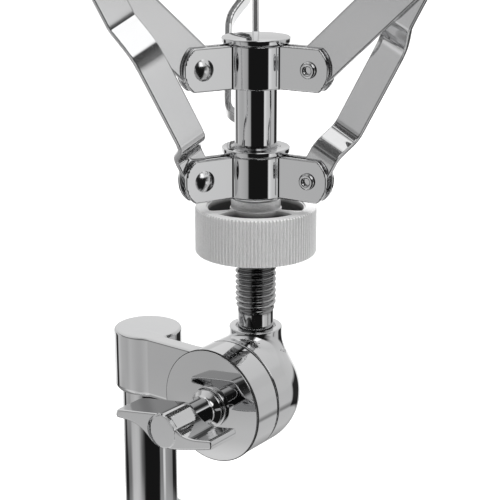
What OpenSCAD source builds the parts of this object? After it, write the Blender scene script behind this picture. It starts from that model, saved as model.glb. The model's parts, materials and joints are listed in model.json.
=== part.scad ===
// Snare drum stand: a three-legged base, a sliding height tube, a tilting head and a folding
// three-arm basket. Millimetres, +Z up. The origin is on the floor under the height tube's axis,
// +X runs along the tilter's arm and the tilter's wing nut faces -Y.

/* [Tripod] */
// Height of the stays' lower pivots above the floor
spreader_z = 36; // [34:1:44]
// Distance from a stay's lower pivot to its leg, and from there to the leg's top pivot
brace_len = 100; // [90:1:120]
// Angle between a leg and the floor
leg_angle = 38; // [34:1:44]
// Distance of the leg and stay pivots from the tube's axis
leg_pivot_r = 26; // [25:0.5:30]
// Width of a leg strip
leg_w = 16; // [14:0.5:17]
// Thickness of a leg strip
leg_t = 2.5; // [2:0.1:3]
// Clear gap between the two strips of a leg
leg_gap = 10; // [9.6:0.1:12]
// Width of a stay
stay_w = 14; // [12:0.5:15]
// Thickness of a stay
stay_t = 3; // [2.5:0.1:3.2]
// Azimuth of the first leg
leg_turn = 0; // [-10:1:10]

/* [Rubber feet] */
// Diameter of a foot's sole
foot_d = 36; // [32:1:42]
// Height of a foot's round part
foot_h = 27; // [25:1:30]
// Length of the rubber sleeve along the leg
foot_sleeve_len = 34; // [30:1:40]

/* [Base tube] */
// Wall of the base tube
base_tube_wall = 1.5; // [1.2:0.1:1.6]
// Height of the sliding leg collar
collar_h = 26; // [24:1:30]
// Wall of the leg collar and of the spreader bracket
collar_wall = 2.6; // [2.4:0.1:2.8]

/* [Height clamp] */
// Height of the clamp
clamp_h = 36; // [32:1:42]
// Wall of the clamp
clamp_wall = 4; // [3.5:0.1:5]
// Length of height tube that shows between the clamp and the tilter
tube_shown = 66; // [60:1:90]

/* [Height tube] */
// Outside diameter of the height tube
tube_d = 25.4; // [25.2:0.1:25.4]
// Wall of the height tube
tube_wall = 1.6; // [1.2:0.1:2]
// Length of height tube that stays inside the base tube at the shown height
tube_inside = 160; // [140:5:180]

/* [Tilter] */
// Diameter of the cap on the height tube
cap_d = 32; // [31:0.5:34]
// Height of the cap and of the tilter's arm
cap_h = 30; // [28:0.5:32]
// Thickness of the tilter's arm
arm_plate_t = 7.8; // [6:0.1:9]
// Distance from the height tube's axis to the tilting axis
tilter_reach = 48.2; // [47:0.1:52]
// Diameter of the two tilter discs
disc_d = 51.8; // [50:0.2:54]
// Thickness of the front disc
disc_t = 16; // [14:0.5:17]
// Distance of the discs' parting line behind the height tube's axis
parting_y = 2.2; // [1.5:0.1:3]
// Drop of the tilting axis below the cap's top
axis_drop = 23.9; // [22:0.1:25]
// Straight part of the rear disc before it rounds off
head_straight = 8.5; // [7:0.5:10]
// Depth of the rear disc with its rounded back
head_deep = 30; // [28:0.5:32]
// Thickness of the friction washer between the discs
friction_t = 0.8; // [0.6:0.1:1.2]
// Diameter of the tilter bolt
tilter_bolt_d = 8; // [7:0.5:8.5]

/* [Tilter wing nut] */
// Distance from the disc's face to the wing nut's front
wing_out = 34; // [32:0.5:38]
// Depth of the wings along the bolt
wing_deep = 14; // [12:0.5:16]
// Half of the wing nut's span
wing_half = 26.5; // [24:0.5:29]
// Radius of the wing nut's middle
wing_mid_r = 7.9; // [7.5:0.1:8.4]

/* [Basket post] */
// Distance of the post's axis behind the discs' parting line
post_back = 18.2; // [17:0.1:20]
// Outside diameter of the post
post_d = 19; // [18.6:0.1:19.4]
// Wall of the post
post_wall = 1.4; // [1.2:0.1:1.6]
// Outside diameter of the threaded stem
stem_d = 18.8; // [18.4:0.1:18.9]
// Pitch of the stem's thread
stem_pitch = 2.5; // [2:0.5:3]
// Diameter of the stem's smooth neck
neck_d = 16.4; // [16:0.1:16.8]
// Outside diameter of the stem's socket
socket_d = 24.4; // [24:0.2:26]
// Height of the socket's rim above the tilting axis
socket_rise = 29.1; // [28:0.1:31]
// Depth of the stem's socket
socket_deep = 20; // [18:0.5:21]

/* [Basket] */
// Height of the upper bracket's pivots above the tilting axis
upper_pivot_rise = 150.1; // [148:0.1:160]
// Distance between the upper and lower bracket's pivots
bracket_gap = 48.7; // [46:0.1:52]
// Distance of the basket's pivots from the post's axis
basket_pivot_r = 28; // [27.5:0.1:30]
// Azimuth of the first basket arm
basket_turn = 6.5; // [0:0.5:12]
// Angle of the arms above the horizontal
arm_angle = 43.3; // [40:0.1:48]
// Thickness of the arms
arm_t = 3.2; // [2.8:0.1:3.4]
// Width of the arms
arm_w = 18; // [16:0.5:19]
// Length of an arm from its pivot to its end
arm_len = 195; // [185:1:210]
// Distance along an arm from its pivot to its strut
strut_on_arm = 70; // [66:0.5:76]
// Thickness of the struts
strut_t = 3.2; // [2.8:0.1:3.4]
// Width of the struts
strut_w = 13.2; // [12:0.2:14]
// Sideways offset of a strut's middle from its arm
strut_offset = 13; // [11:0.5:14]
// Outside radius of the bracket plates round the hub
plate_r = 14.3; // [14:0.1:14.6]
// Thickness of the bracket plates
plate_t = 2.2; // [2:0.1:2.3]
// Height of the bracket plates
plate_h = 19; // [18:0.5:20]
// Diameter of the hubs' flanges
flange_d = 30.4; // [30:0.2:32]
// Thickness of the hubs' flanges
flange_t = 2.6; // [2:0.1:3]
// Diameter of the pivot rivets' shanks
pivot_d = 5; // [4.6:0.1:5.4]
// Diameter of the pivot rivets' domed heads
dome_d = 9.5; // [9:0.1:10.5]

/* [Basket nut] */
// Diameter of the basket nut over its knurl
nut_d = 55; // [53:0.5:58]
// Height of the basket nut's rim
nut_h = 21.4; // [20:0.2:24]
// Drop of the nut's rim below the lower bracket's pivots
nut_drop = 15.2; // [15:0.1:17]
// Number of ribs in the knurl
nut_ribs = 104; // [90:2:120]
// Depth of the knurl
knurl_deep = 0.6; // [0.4:0.1:0.8]
// Depth of the nut's three pockets
pocket_deep = 14; // [8:0.5:16]

/* [Grips] */
// Length of a rubber grip along its arm
grip_len = 46; // [40:1:50]
// Width of a rubber grip across its arm
grip_w = 17; // [15:0.5:19]
// Height of a grip's hook above the arm's middle
grip_hook = 33; // [28:0.5:36]
// Clear width of the notch that holds the drum's hoop
grip_notch = 11; // [9:0.5:12]

/* [Fits] */
// Gap round a piece that is fixed in another
fixed_gap = 0.02; // [0.01:0.01:0.05]
// Gap round a piece that turns or slides in another
running_gap = 0.08; // [0.05:0.01:0.1]
// Gap between two moving flat pieces
side_gap = 0.3; // [0.25:0.05:0.4]
// Gap between the height tube and the base tube
tube_gap = 0.1; // [0.06:0.01:0.15]

/* [Hidden] */
$fn = 64;

chrome = [0.78, 0.79, 0.81];
satin = [0.72, 0.73, 0.74];
rubber = [0.09, 0.09, 0.1];
nylon = [0.15, 0.15, 0.16];
// Height of the round part of a foot that the leg's axis meets
foot_axis_z = 14;
leg_head = 8;
overcut = 1;
folded_angle = 86;

// The base tube fits round the height tube
base_tube_d = tube_d + 2 * (tube_gap + base_tube_wall);

// Tripod
collar_z = spreader_z + 2 * brace_len * sin(leg_angle);
leg_len = (collar_z - foot_axis_z) / sin(leg_angle);
leg_rest = leg_len - brace_len;
leg_out = leg_pivot_r + brace_len * cos(leg_angle);
leg_mid_z = spreader_z + brace_len * sin(leg_angle);
leg_y = leg_gap / 2 + leg_t / 2;
foot_r = leg_pivot_r + leg_len * cos(leg_angle);
rivet_d = 5;
rivet_head_d = 9;
rivet_head_h = 2;
flat_head_h = 0.9;
ear_t = 2;
stay_ear_y = stay_t / 2 + side_gap;
leg_ear_y = leg_gap / 2 - side_gap - ear_t;
collar_r = base_tube_d / 2 + running_gap + collar_wall;
boss_d = 15;
boss_out = 7;
collar_bolt_r = 3;
foot_pin_d = 4;
foot_pin_in = 4;

// Base tube and clamp
base_z = 14;
spreader_h = 24;
base_top = spreader_z + 2 * brace_len * sin(folded_angle) + collar_h / 2 + clamp_h / 2 + 3;
clamp_z = base_top - clamp_h / 2;
clamp_top = clamp_z + clamp_h;
clamp_r = base_tube_d / 2 + fixed_gap + clamp_wall;
clamp_ear_x = 6.5;
ear_reach = 20;
bolt_reach = 12;
clamp_ear_r = clamp_r + ear_reach;
clamp_bolt_r = clamp_r + bolt_reach;
clamp_bolt_d = 6;
bush_lip = 2.5;
slit = 3;

// Tilter
cap_z = clamp_top + tube_shown;
cap_top = cap_z + cap_h;
axis_z = cap_top - axis_drop;
face_y = parting_y - disc_t;
arm_plate_y = face_y + 0.4;
head_y = parting_y + friction_t;
post_y = parting_y + post_back;
tube_bottom = base_top - tube_inside;
tube_top = cap_top - 5;
bolt_head_deep = 4.4;
bolt_hex_d = 15;
grub_r = 2.5;
grub_drop = 11;
washer_t = 1.6;
washer_d = 19.4;
wing_front_y = face_y - wing_out;

// Basket, measured from the upper pivots along the post
upper_z = axis_z + upper_pivot_rise;
lower_drop = bracket_gap;
socket_z = socket_rise - upper_pivot_rise;
flange_top = plate_h / 2 + 0.1 + flange_t;
hub_r = plate_r - plate_t - fixed_gap;
ear_in = arm_t / 2 + 0.25;
ear_tip = 9.3;
ear_end_r = 12;
ear_height_half = plate_h / 2;
nut_top = -lower_drop - nut_drop;
nut_sleeve_r = 11.2;
nut_sleeve_top = -lower_drop - ear_height_half - 1.6;
hub_bottom = -ear_height_half - 1.3;
thread_top = -lower_drop + 2.7;
thread_bottom = nut_top - nut_h - 27;
thread_depth = 1.2;
post_bottom = thread_top;
spigot_r = post_d / 2 - post_wall - fixed_gap;
strut_side = arm_t / 2 + strut_t / 2 + side_gap;
strut_rise = lower_drop + strut_on_arm * sin(arm_angle);
strut_run = strut_on_arm * cos(arm_angle);
strut_len = sqrt(strut_rise * strut_rise + strut_run * strut_run);
strut_angle = atan2(strut_rise, strut_run);
// Radial play of the one pivot of each arm that stays open to the linkage's own error
open_play = 2.1;
strut_pin_d = 5;

// A bar with round ends, in the plane y = 0, from the origin along +X
module bar_outline(length, width) {
    translate([0, -width / 2]) square([length, width]);
    circle(d = width);
    translate([length, 0]) circle(d = width);
}

module plate_xz(thick) {
    translate([0, thick / 2, 0]) rotate([90, 0, 0]) linear_extrude(thick) children();
}

// A round pin along Y
module pin_y(dia, length) {
    translate([0, length / 2, 0]) rotate([90, 0, 0]) cylinder(d = dia, h = length);
}

// A low dome on the plane z = 0
module dome(dia, high) {
    ball_r = (dia * dia / 4 + high * high) / (2 * high);
    rotate_extrude() intersection() {
        translate([0, high - ball_r]) circle(r = ball_r, $fn = 128);
        square([dia, high]);
    }
}

// A rivet along Y with a dome at each end
module rivet_y(dia, grip, head_d, head_h) {
    pin_y(dia, grip);
    translate([0, -grip / 2, 0]) rotate([90, 0, 0]) dome(head_d, head_h);
    translate([0, grip / 2, 0]) rotate([-90, 0, 0]) dome(head_d, head_h);
}

// Puts a shape, drawn with +X outward, on leg number n
module on_leg(n) {
    rotate([0, 0, leg_turn + 120 * (n - 1)]) children();
}

// Puts a shape on basket arm n, with the origin at the upper pivots' height on the post's axis
module on_basket() {
    translate([tilter_reach, post_y, upper_z]) children();
}

module on_arm(n) {
    on_basket() rotate([0, 0, basket_turn + 120 * (n - 1)]) children();
}

// The outline of a wing nut, seen from its front: the left wing's top and the right wing's
// bottom are straight, the other two edges are hollow
module wing_outline(half, mid_r) {
    tip_in = 0.05 * half;
    tip_top = 0.125 * half;
    tip_low = -0.06 * half;
    polygon([[-half + tip_in, tip_top], [0, mid_r], [0.4 * mid_r, 0.92 * mid_r],
        [0.62 * mid_r, 0.42 * mid_r], [0.31 * half, 0.075 * half], [0.44 * half, 0.03 * half],
        [0.65 * half, 0.01 * half], [0.83 * half, 0.035 * half], [half - tip_in, -tip_low],
        [half, -0.01 * half], [half - tip_in, -tip_top], [0, -mid_r], [-0.4 * mid_r, -0.92 * mid_r],
        [-0.31 * half, -0.12 * half], [-0.44 * half, -0.05 * half], [-0.65 * half, -0.01 * half],
        [-0.83 * half, -0.02 * half], [-half + tip_in, tip_low], [-half, 0.01 * half]]);
    circle(r = mid_r * 0.9);
}

// A wing nut along -Z: its front is at z = 0, its seat at z = -out
module wing_nut(half, mid_r, deep, out, bore_r, bore_len, seat_r) {
    difference() {
        union() {
            translate([0, 0, -deep]) linear_extrude(deep) wing_outline(half, mid_r);
            cylinder(r = 0.88 * mid_r, h = 0.5);
            rotate_extrude() polygon([[0, -out], [seat_r, -out], [seat_r, -out + 1.2],
                [0.62 * seat_r, -out + 4], [0.62 * seat_r, -deep - 2], [mid_r * 0.9, -deep + 2],
                [0, -deep + 2]]);
        }
        if (bore_r > 0)
            translate([0, 0, -out - overcut]) cylinder(r = bore_r, h = bore_len + overcut);
    }
}

module base_tube() {
    color(chrome) difference() {
        translate([0, 0, base_z]) cylinder(d = base_tube_d, h = base_top - base_z);
        translate([0, 0, base_z - overcut])
            cylinder(d = base_tube_d - 2 * base_tube_wall, h = base_top - base_z + 2 * overcut);
    }
}

// Plastic plug that closes the base tube's bottom
module base_plug() {
    plug_r = base_tube_d / 2 - base_tube_wall - fixed_gap;
    plug_h = 14;
    plug_lip = 3;
    plug_wall = 2.5;
    color(rubber) difference() {
        union() {
            translate([0, 0, base_z]) cylinder(r = plug_r, h = plug_h);
            translate([0, 0, base_z - plug_lip]) cylinder(d = base_tube_d, h = plug_lip);
        }
        translate([0, 0, base_z + 2]) cylinder(r = plug_r - plug_wall, h = plug_h);
    }
}

// A sleeve with three pairs of ears for legs or stays
module eared_sleeve(bore_r, wall, high, ear_y, ear_w, pin_d) {
    sleeve_r = bore_r + wall;
    difference() {
        union() {
            translate([0, 0, -high / 2]) cylinder(r = sleeve_r, h = high);
            for (n = [1:3], side = [-1, 1])
                on_leg(n) translate([0, side * (ear_y + ear_t / 2), 0]) plate_xz(ear_t)
                    difference() {
                        bar_outline(leg_pivot_r, ear_w);
                        circle(r = bore_r + wall / 2);
                        translate([-ear_w, -ear_w]) square([ear_w, 2 * ear_w]);
                    }
        }
        translate([0, 0, -high]) cylinder(r = bore_r, h = 2 * high);
        for (n = [1:3])
            on_leg(n) translate([leg_pivot_r, 0, 0]) pin_y(pin_d + 2 * fixed_gap, 4 * leg_gap);
    }
}

// Bottom bracket, fixed on the base tube, that holds the stays
module spreader_bracket() {
    color(chrome) translate([0, 0, spreader_z])
        eared_sleeve(base_tube_d / 2 + fixed_gap, collar_wall, spreader_h, stay_ear_y, stay_w,
            rivet_d);
}

module spreader_rivets() {
    color(chrome) for (n = [1:3])
        on_leg(n) translate([leg_pivot_r, 0, spreader_z])
            rivet_y(rivet_d, 2 * (stay_ear_y + ear_t), rivet_head_d - 1, flat_head_h);
}

// Collar that slides on the base tube and holds the legs, with a boss for its wing bolt
module leg_collar() {
    color(chrome) translate([0, 0, collar_z]) difference() {
        union() {
            eared_sleeve(base_tube_d / 2 + running_gap, collar_wall, collar_h, leg_ear_y, leg_w - 1,
                rivet_d);
            rotate([0, 0, leg_turn + 180]) rotate([0, 90, 0])
                translate([0, 0, base_tube_d / 2])
                    cylinder(d = boss_d, h = collar_r + boss_out - base_tube_d / 2);
        }
        translate([0, 0, -collar_h]) cylinder(r = base_tube_d / 2 + running_gap, h = 2 * collar_h);
        rotate([0, 0, leg_turn + 180]) rotate([0, 90, 0])
            cylinder(r = collar_bolt_r + running_gap, h = collar_r + boss_out + overcut);
    }
}

module collar_rivets() {
    color(chrome) for (n = [1:3])
        on_leg(n) translate([leg_pivot_r, 0, collar_z])
            rivet_y(rivet_d, 2 * (leg_y + leg_t / 2 + side_gap), rivet_head_d, rivet_head_h);
}

// Wing bolt that locks the leg collar on the base tube
module collar_wing_bolt() {
    bolt_len = collar_r + boss_out - base_tube_d / 2;
    wing_len = 17;
    wing_half_span = 17;
    wing_middle_r = 5.6;
    wing_d = 9;
    color(chrome) translate([0, 0, collar_z]) rotate([0, 0, leg_turn + 180]) rotate([0, 90, 0])
        union() {
            translate([0, 0, base_tube_d / 2 + 0.1]) cylinder(r = collar_bolt_r, h = bolt_len + 6);
            translate([0, 0, collar_r + boss_out + side_gap + wing_len]) rotate([0, 0, 90])
                wing_nut(wing_half_span, wing_middle_r, wing_d, wing_len, 0, 0, wing_middle_r);
        }
}

// Flat stay between the bottom bracket and a leg
module stay(n) {
    color(chrome) on_leg(n) translate([leg_pivot_r, 0, spreader_z]) rotate([0, -leg_angle, 0])
        plate_xz(stay_t) difference() {
            bar_outline(brace_len, stay_w);
            circle(d = rivet_d + 2 * running_gap);
            translate([brace_len, 0]) circle(d = rivet_d + 2 * running_gap);
        }
}

// One of a leg's two flat strips; side is -1 or 1
module leg_strip(n, side) {
    play_d = rivet_d + 2 * side_gap;
    color(chrome) on_leg(n) translate([leg_pivot_r, side * leg_y, collar_z])
        rotate([0, leg_angle, 0]) plate_xz(leg_t) difference() {
            bar_outline(leg_len, leg_w);
            circle(d = n == 1 ? rivet_d + 2 * running_gap : play_d);
            translate([brace_len, 0]) circle(d = rivet_d + 2 * fixed_gap);
            translate([leg_len - foot_pin_in, 0]) circle(d = foot_pin_d + 2 * fixed_gap);
        }
}

// Rivet and spacers at the stay's joint, and the rivet through the foot
module leg_rivets(n) {
    spacer_d = 8.6;
    spacer = (leg_gap - stay_t) / 2 - side_gap;
    color(chrome) on_leg(n) translate([leg_pivot_r, 0, collar_z]) rotate([0, leg_angle, 0]) {
        translate([brace_len, 0, 0]) {
            rivet_y(rivet_d, leg_gap + 2 * leg_t + 2 * fixed_gap, rivet_head_d, rivet_head_h);
            for (side = [-1, 1])
                translate([0, side * (leg_gap / 2 - spacer / 2), 0])
                    pin_y(spacer_d, spacer - 2 * fixed_gap);
        }
        translate([leg_len - foot_pin_in, 0, 0]) pin_y(foot_pin_d, leg_gap + 2 * leg_t);
    }
}

// Rubber foot: a round sole and a sleeve over the leg's two strips
module foot(n) {
    core = leg_gap + 2 * leg_t;
    color(rubber) difference() {
        on_leg(n) union() {
            translate([foot_r, 0, 0]) rotate_extrude() polygon([[0, 0], [foot_d / 2 - 2, 0],
                [foot_d / 2, 2], [foot_d / 2, 6], [foot_d / 2 - 1.5, 7.5], [foot_d / 2, 9],
                [foot_d / 2 - 0.6, 15], [foot_d / 2 - 4, 22], [foot_d / 2 - 9, foot_h],
                [0, foot_h]]);
            translate([leg_pivot_r, 0, collar_z]) rotate([0, leg_angle, 0])
                translate([leg_len - foot_sleeve_len + 6, 0, 0]) rotate([0, 90, 0])
                    linear_extrude(foot_sleeve_len - 8) foot_sleeve_outline(core / 2 + 3);
        }
        on_leg(n) for (side = [-1, 1])
            translate([leg_pivot_r, side * leg_y, collar_z]) rotate([0, leg_angle, 0])
                plate_xz(leg_t + 2 * fixed_gap)
                    translate([brace_len, 0]) bar_outline(leg_rest, leg_w + 2 * fixed_gap);
        on_leg(n) translate([leg_pivot_r, 0, collar_z]) rotate([0, leg_angle, 0])
            translate([leg_len - foot_pin_in, 0, 0])
                pin_y(foot_pin_d + 2 * fixed_gap, core + 2 * fixed_gap);
    }
}

// Cross-section of the foot's sleeve, a rectangle with round corners
module foot_sleeve_outline(half_y) {
    half_z = leg_w / 2 + 3;
    round_r = 3;
    square([2 * half_z, 2 * (half_y - round_r)], center = true);
    square([2 * (half_z - round_r), 2 * half_y], center = true);
    for (a = [-1, 1], b = [-1, 1])
        translate([a * (half_z - round_r), b * (half_y - round_r)]) circle(r = round_r);
}

// Split clamp on the base tube's top; its ears face -Y
module height_clamp() {
    bore_r = base_tube_d / 2 + fixed_gap;
    edge = 1;
    ear_low = 4;
    ear_round_r = 9;
    color(chrome) translate([0, 0, clamp_z]) difference() {
        union() {
            rotate_extrude() polygon([[bore_r, 0], [clamp_r - edge, 0], [clamp_r, edge],
                [clamp_r, clamp_h - edge], [clamp_r - edge, clamp_h], [bore_r, clamp_h]]);
            translate([0, 0, ear_low]) linear_extrude(clamp_h - 2 * ear_low) difference() {
                union() {
                    translate([-clamp_ear_x, -clamp_bolt_r])
                        square([2 * clamp_ear_x, clamp_bolt_r]);
                    intersection() {
                        translate([0, -clamp_bolt_r]) circle(r = ear_round_r);
                        translate([-clamp_ear_x, -clamp_ear_r])
                            square([2 * clamp_ear_x, clamp_ear_r]);
                    }
                }
                circle(r = bore_r);
            }
        }
        translate([-slit / 2, -clamp_ear_r, -overcut])
            cube([slit, clamp_ear_r, clamp_h + 2 * overcut]);
        translate([0, -clamp_bolt_r, clamp_h / 2]) rotate([0, 90, 0])
            cylinder(d = clamp_bolt_d + 2 * fixed_gap, h = 8 * clamp_ear_x, center = true);
    }
}

// Nylon bush that guides the height tube above the base tube's end
module clamp_bush() {
    bush_r = base_tube_d / 2 - running_gap;
    lip_r = base_tube_d / 2 + 1.5;
    color(nylon) difference() {
        union() {
            translate([0, 0, base_top + 0.1]) cylinder(r = bush_r, h = clamp_top - base_top);
            translate([0, 0, clamp_top + 0.1]) rotate_extrude() polygon([[tube_d / 2, 0],
                [lip_r, 0], [lip_r, bush_lip - 1], [lip_r - 1, bush_lip], [tube_d / 2, bush_lip]]);
        }
        translate([0, 0, base_top - overcut])
            cylinder(r = tube_d / 2 + running_gap, h = clamp_h + 2 * overcut);
    }
}

// Bolt through the clamp's ears, with a round head
module clamp_bolt() {
    head_x = -clamp_ear_x - 0.1;
    bolt_end = clamp_ear_x + 12;
    color(chrome) translate([0, -clamp_bolt_r, clamp_z + clamp_h / 2]) rotate([0, -90, 0])
        translate([0, 0, head_x]) {
            cylinder(d = clamp_bolt_d, h = bolt_end - head_x);
            rotate([180, 0, 0]) dome(13, 3);
        }
}

module clamp_wing_nut() {
    nut_half = 16;
    nut_mid_r = 6.4;
    nut_deep = 8;
    nut_out = 15;
    bore_len = 12.5;
    nut_turn = 100;
    color(chrome) translate([0, -clamp_bolt_r, clamp_z + clamp_h / 2]) rotate([0, -90, 0])
        translate([0, 0, clamp_ear_x + side_gap + nut_out]) rotate([0, 0, nut_turn])
            wing_nut(nut_half, nut_mid_r, nut_deep, nut_out, clamp_bolt_d / 2 + running_gap,
                bore_len, nut_mid_r);
}

module height_tube() {
    color(chrome) difference() {
        translate([0, 0, tube_bottom]) cylinder(d = tube_d, h = tube_top - tube_bottom);
        translate([0, 0, tube_bottom - overcut])
            cylinder(d = tube_d - 2 * tube_wall, h = tube_top - tube_bottom + 2 * overcut);
    }
}

// Cap on the height tube, arm and front disc of the tilter, cast in one piece
module tilter_body() {
    cap_r = cap_d / 2;
    edge = 3.5;
    fillet = 4;
    color(chrome) difference() {
        union() {
            translate([0, 0, cap_z]) rotate_extrude() union() {
                translate([0, edge]) square([cap_r, cap_h - edge - 0.8]);
                square([cap_r - edge, cap_h]);
                translate([cap_r - edge, edge]) circle(r = edge);
                translate([0, cap_h - 1]) polygon([[0, 0], [cap_r, 0], [cap_r, 0.2],
                    [cap_r - 0.8, 1], [0, 1]]);
            }
            translate([0, arm_plate_y, cap_z]) cube([tilter_reach, arm_plate_t, cap_h]);
            arm_blend(fillet);
            translate([tilter_reach, 0, axis_z]) rotate([90, 0, 0]) translate([0, 0, -parting_y])
                rotate_extrude() polygon([[0, 0], [disc_d / 2 - 0.5, 0], [disc_d / 2, 0.5],
                    [disc_d / 2, disc_t - 0.8], [disc_d / 2 - 0.8, disc_t], [0, disc_t]]);
        }
        translate([0, 0, cap_z - overcut])
            cylinder(d = tube_d + 2 * fixed_gap, h = cap_h - 5 + overcut + 0.02);
        translate([tilter_reach, 0, axis_z])
            pin_y(tilter_bolt_d + 2 * running_gap, 4 * disc_t);
    }
}

// Hollow blend between the cap's front and the arm
module arm_blend(fillet) {
    cap_r = cap_d / 2;
    blend_x = sqrt(cap_r * cap_r - arm_plate_y * arm_plate_y);
    translate([0, 0, cap_z]) linear_extrude(cap_h) difference() {
        polygon([[0, 0], [blend_x - 1, arm_plate_y], [cap_r + fillet + 2, arm_plate_y],
            [cap_r + fillet + 2, arm_plate_y + arm_plate_t + fillet], [cap_r - 2, arm_plate_t]]);
        translate([cap_r + fillet + 2, arm_plate_y + arm_plate_t + fillet + 1.6])
            circle(r = fillet + 1.6);
    }
}

// Bolt along the tilting axis; its hexagon head sits behind the rear disc
module tilter_bolt() {
    bolt_end = face_y - washer_t - 18;
    hex_seat = head_y + head_deep - bolt_head_deep + side_gap;
    hex_h = 5.5;
    color(chrome) translate([tilter_reach, 0, axis_z]) {
        translate([0, hex_seat + 1, 0]) rotate([90, 0, 0])
            cylinder(d = tilter_bolt_d, h = hex_seat + 1 - bolt_end);
        translate([0, hex_seat + hex_h, 0]) rotate([90, 0, 0])
            cylinder(d = bolt_hex_d, h = hex_h, $fn = 6);
    }
}

module friction_washer() {
    color(nylon) translate([tilter_reach, head_y - 0.05, axis_z]) rotate([90, 0, 0])
        difference() {
            cylinder(d = disc_d - 1.6, h = friction_t - 0.1);
            translate([0, 0, -overcut])
                cylinder(d = tilter_bolt_d + 2 * side_gap, h = friction_t + 2 * overcut);
        }
}

// Round steel washer between the wing nut and the front disc
module pressure_washer() {
    color(chrome) translate([tilter_reach, face_y - 0.05, axis_z]) rotate([90, 0, 0])
        difference() {
            rotate_extrude() polygon([[0, 0], [washer_d / 2, 0], [washer_d / 2, washer_t - 0.5],
                [washer_d / 2 - 0.5, washer_t], [0, washer_t]]);
            translate([0, 0, -overcut])
                cylinder(d = tilter_bolt_d + 4 * running_gap, h = washer_t + 2 * overcut);
        }
}

module tilter_wing_nut() {
    seat = wing_out - washer_t - side_gap - 0.05;
    bore_len = 19;
    color(chrome) translate([tilter_reach, wing_front_y, axis_z]) rotate([90, 0, 0])
        wing_nut(wing_half, wing_mid_r, wing_deep, seat, tilter_bolt_d / 2 + running_gap, bore_len,
            8.2);
}

// Rear half of the tilter, rounded off behind, with the socket for the basket's stem
module tilter_head() {
    head_r = disc_d / 2;
    flare = 4;
    mouth_deep = 1.5;
    flare_z = sqrt(head_r * head_r - pow(socket_d / 2 + flare, 2));
    color(chrome) translate([tilter_reach, 0, axis_z]) difference() {
        union() {
            translate([0, head_y, 0]) rotate([-90, 0, 0]) rotate_extrude() union() {
                square([head_r, head_straight]);
                intersection() {
                    translate([0, head_straight]) circle(r = head_r, $fn = 128);
                    square([head_r, head_deep]);
                }
            }
            intersection() {
                translate([0, post_y, 0]) rotate_extrude() polygon([[0, 0],
                    [socket_d / 2 + flare, 0], [socket_d / 2 + flare, flare_z - 2],
                    [socket_d / 2 + 1.2, flare_z + 1], [socket_d / 2, flare_z + 4],
                    [socket_d / 2, socket_rise - 0.5], [socket_d / 2 - 0.5, socket_rise],
                    [0, socket_rise]]);
                translate([-head_r, head_y, 0]) cube([disc_d, head_deep, disc_d]);
            }
        }
        translate([0, post_y, socket_rise - socket_deep])
            cylinder(d = neck_d + 2 * running_gap, h = socket_deep + overcut);
        translate([0, post_y, socket_rise - mouth_deep])
            cylinder(d = neck_d + 2, h = mouth_deep + overcut);
        translate([0, head_y + head_deep / 2, 0])
            pin_y(tilter_bolt_d + 2 * running_gap, 2 * head_deep);
        translate([0, head_y + head_deep - bolt_head_deep, 0]) rotate([-90, 0, 0])
            cylinder(d = bolt_hex_d + 1, h = bolt_head_deep + overcut);
        translate([0, post_y, socket_rise - grub_drop]) rotate([0, 90, 0])
            cylinder(r = grub_r + fixed_gap, h = disc_d);
    }
}

// Grub screw that keeps the stem in its socket
module socket_screw() {
    grub_len = 7;
    key_d = 2.9;
    key_deep = 2;
    color(chrome) translate([tilter_reach, post_y, axis_z + socket_rise - grub_drop])
        rotate([0, 90, 0]) translate([0, 0, neck_d / 2 + side_gap]) difference() {
            cylinder(r = grub_r, h = grub_len);
            translate([0, 0, grub_len - key_deep]) cylinder(d = key_d, h = 2 * key_deep, $fn = 6);
        }
}

// Stem: a threaded rod with a smooth neck below and a spigot inside the post
module threaded_stem() {
    r_out = stem_d / 2;
    r_in = r_out - thread_depth;
    turns = floor((thread_top - thread_bottom) / stem_pitch);
    first = thread_top - turns * stem_pitch;
    neck_low = socket_z - socket_deep + 0.3;
    color(chrome) on_basket() rotate_extrude() polygon(concat(
        [[0, neck_low], [neck_d / 2 - 0.8, neck_low], [neck_d / 2, neck_low + 0.8],
            [neck_d / 2, thread_bottom - 3], [r_in, first - 0.3 * stem_pitch]],
        [for (k = [0:turns - 1], e = [0:3])
            [e == 1 || e == 2 ? r_out : r_in, first + (k + [0.05, 0.42, 0.58, 0.95][e]) * stem_pitch]],
        [[spigot_r, thread_top + 0.2], [spigot_r, -12], [0, -12]]));
}

module post_tube() {
    color(chrome) on_basket() difference() {
        translate([0, 0, post_bottom + 0.2]) cylinder(d = post_d, h = plate_h / 2 - post_bottom - 0.2);
        translate([0, 0, post_bottom - overcut])
            cylinder(d = post_d - 2 * post_wall, h = plate_h - post_bottom);
    }
}

// Top hub: a sleeve on the post under a closed flange
module upper_hub() {
    sleeve_r = post_d / 2 + fixed_gap;
    color(chrome) on_basket() rotate_extrude() polygon([[sleeve_r, -ear_height_half - 0.2],
        [hub_r, -ear_height_half - 0.2], [hub_r, flange_top - flange_t],
        [flange_d / 2 - 0.4, flange_top - flange_t], [flange_d / 2, flange_top - flange_t + 0.4],
        [flange_d / 2, flange_top - 0.4], [flange_d / 2 - 0.4, flange_top], [0, flange_top],
        [0, flange_top - flange_t], [sleeve_r, flange_top - flange_t]]);
}

// Lower hub: a sleeve that slides on the post and that the nut pushes
module lower_hub() {
    sleeve_r = post_d / 2 + running_gap;
    color(chrome) on_basket() translate([0, 0, -lower_drop]) rotate_extrude()
        polygon([[sleeve_r, hub_bottom], [hub_r, hub_bottom], [hub_r, flange_top - flange_t],
            [flange_d / 2 - 0.4, flange_top - flange_t],
            [flange_d / 2, flange_top - flange_t + 0.4], [flange_d / 2, flange_top - 0.4],
            [flange_d / 2 - 0.4, flange_top], [sleeve_r + 0.4, flange_top],
            [sleeve_r, flange_top - 0.4]]);
}

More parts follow.
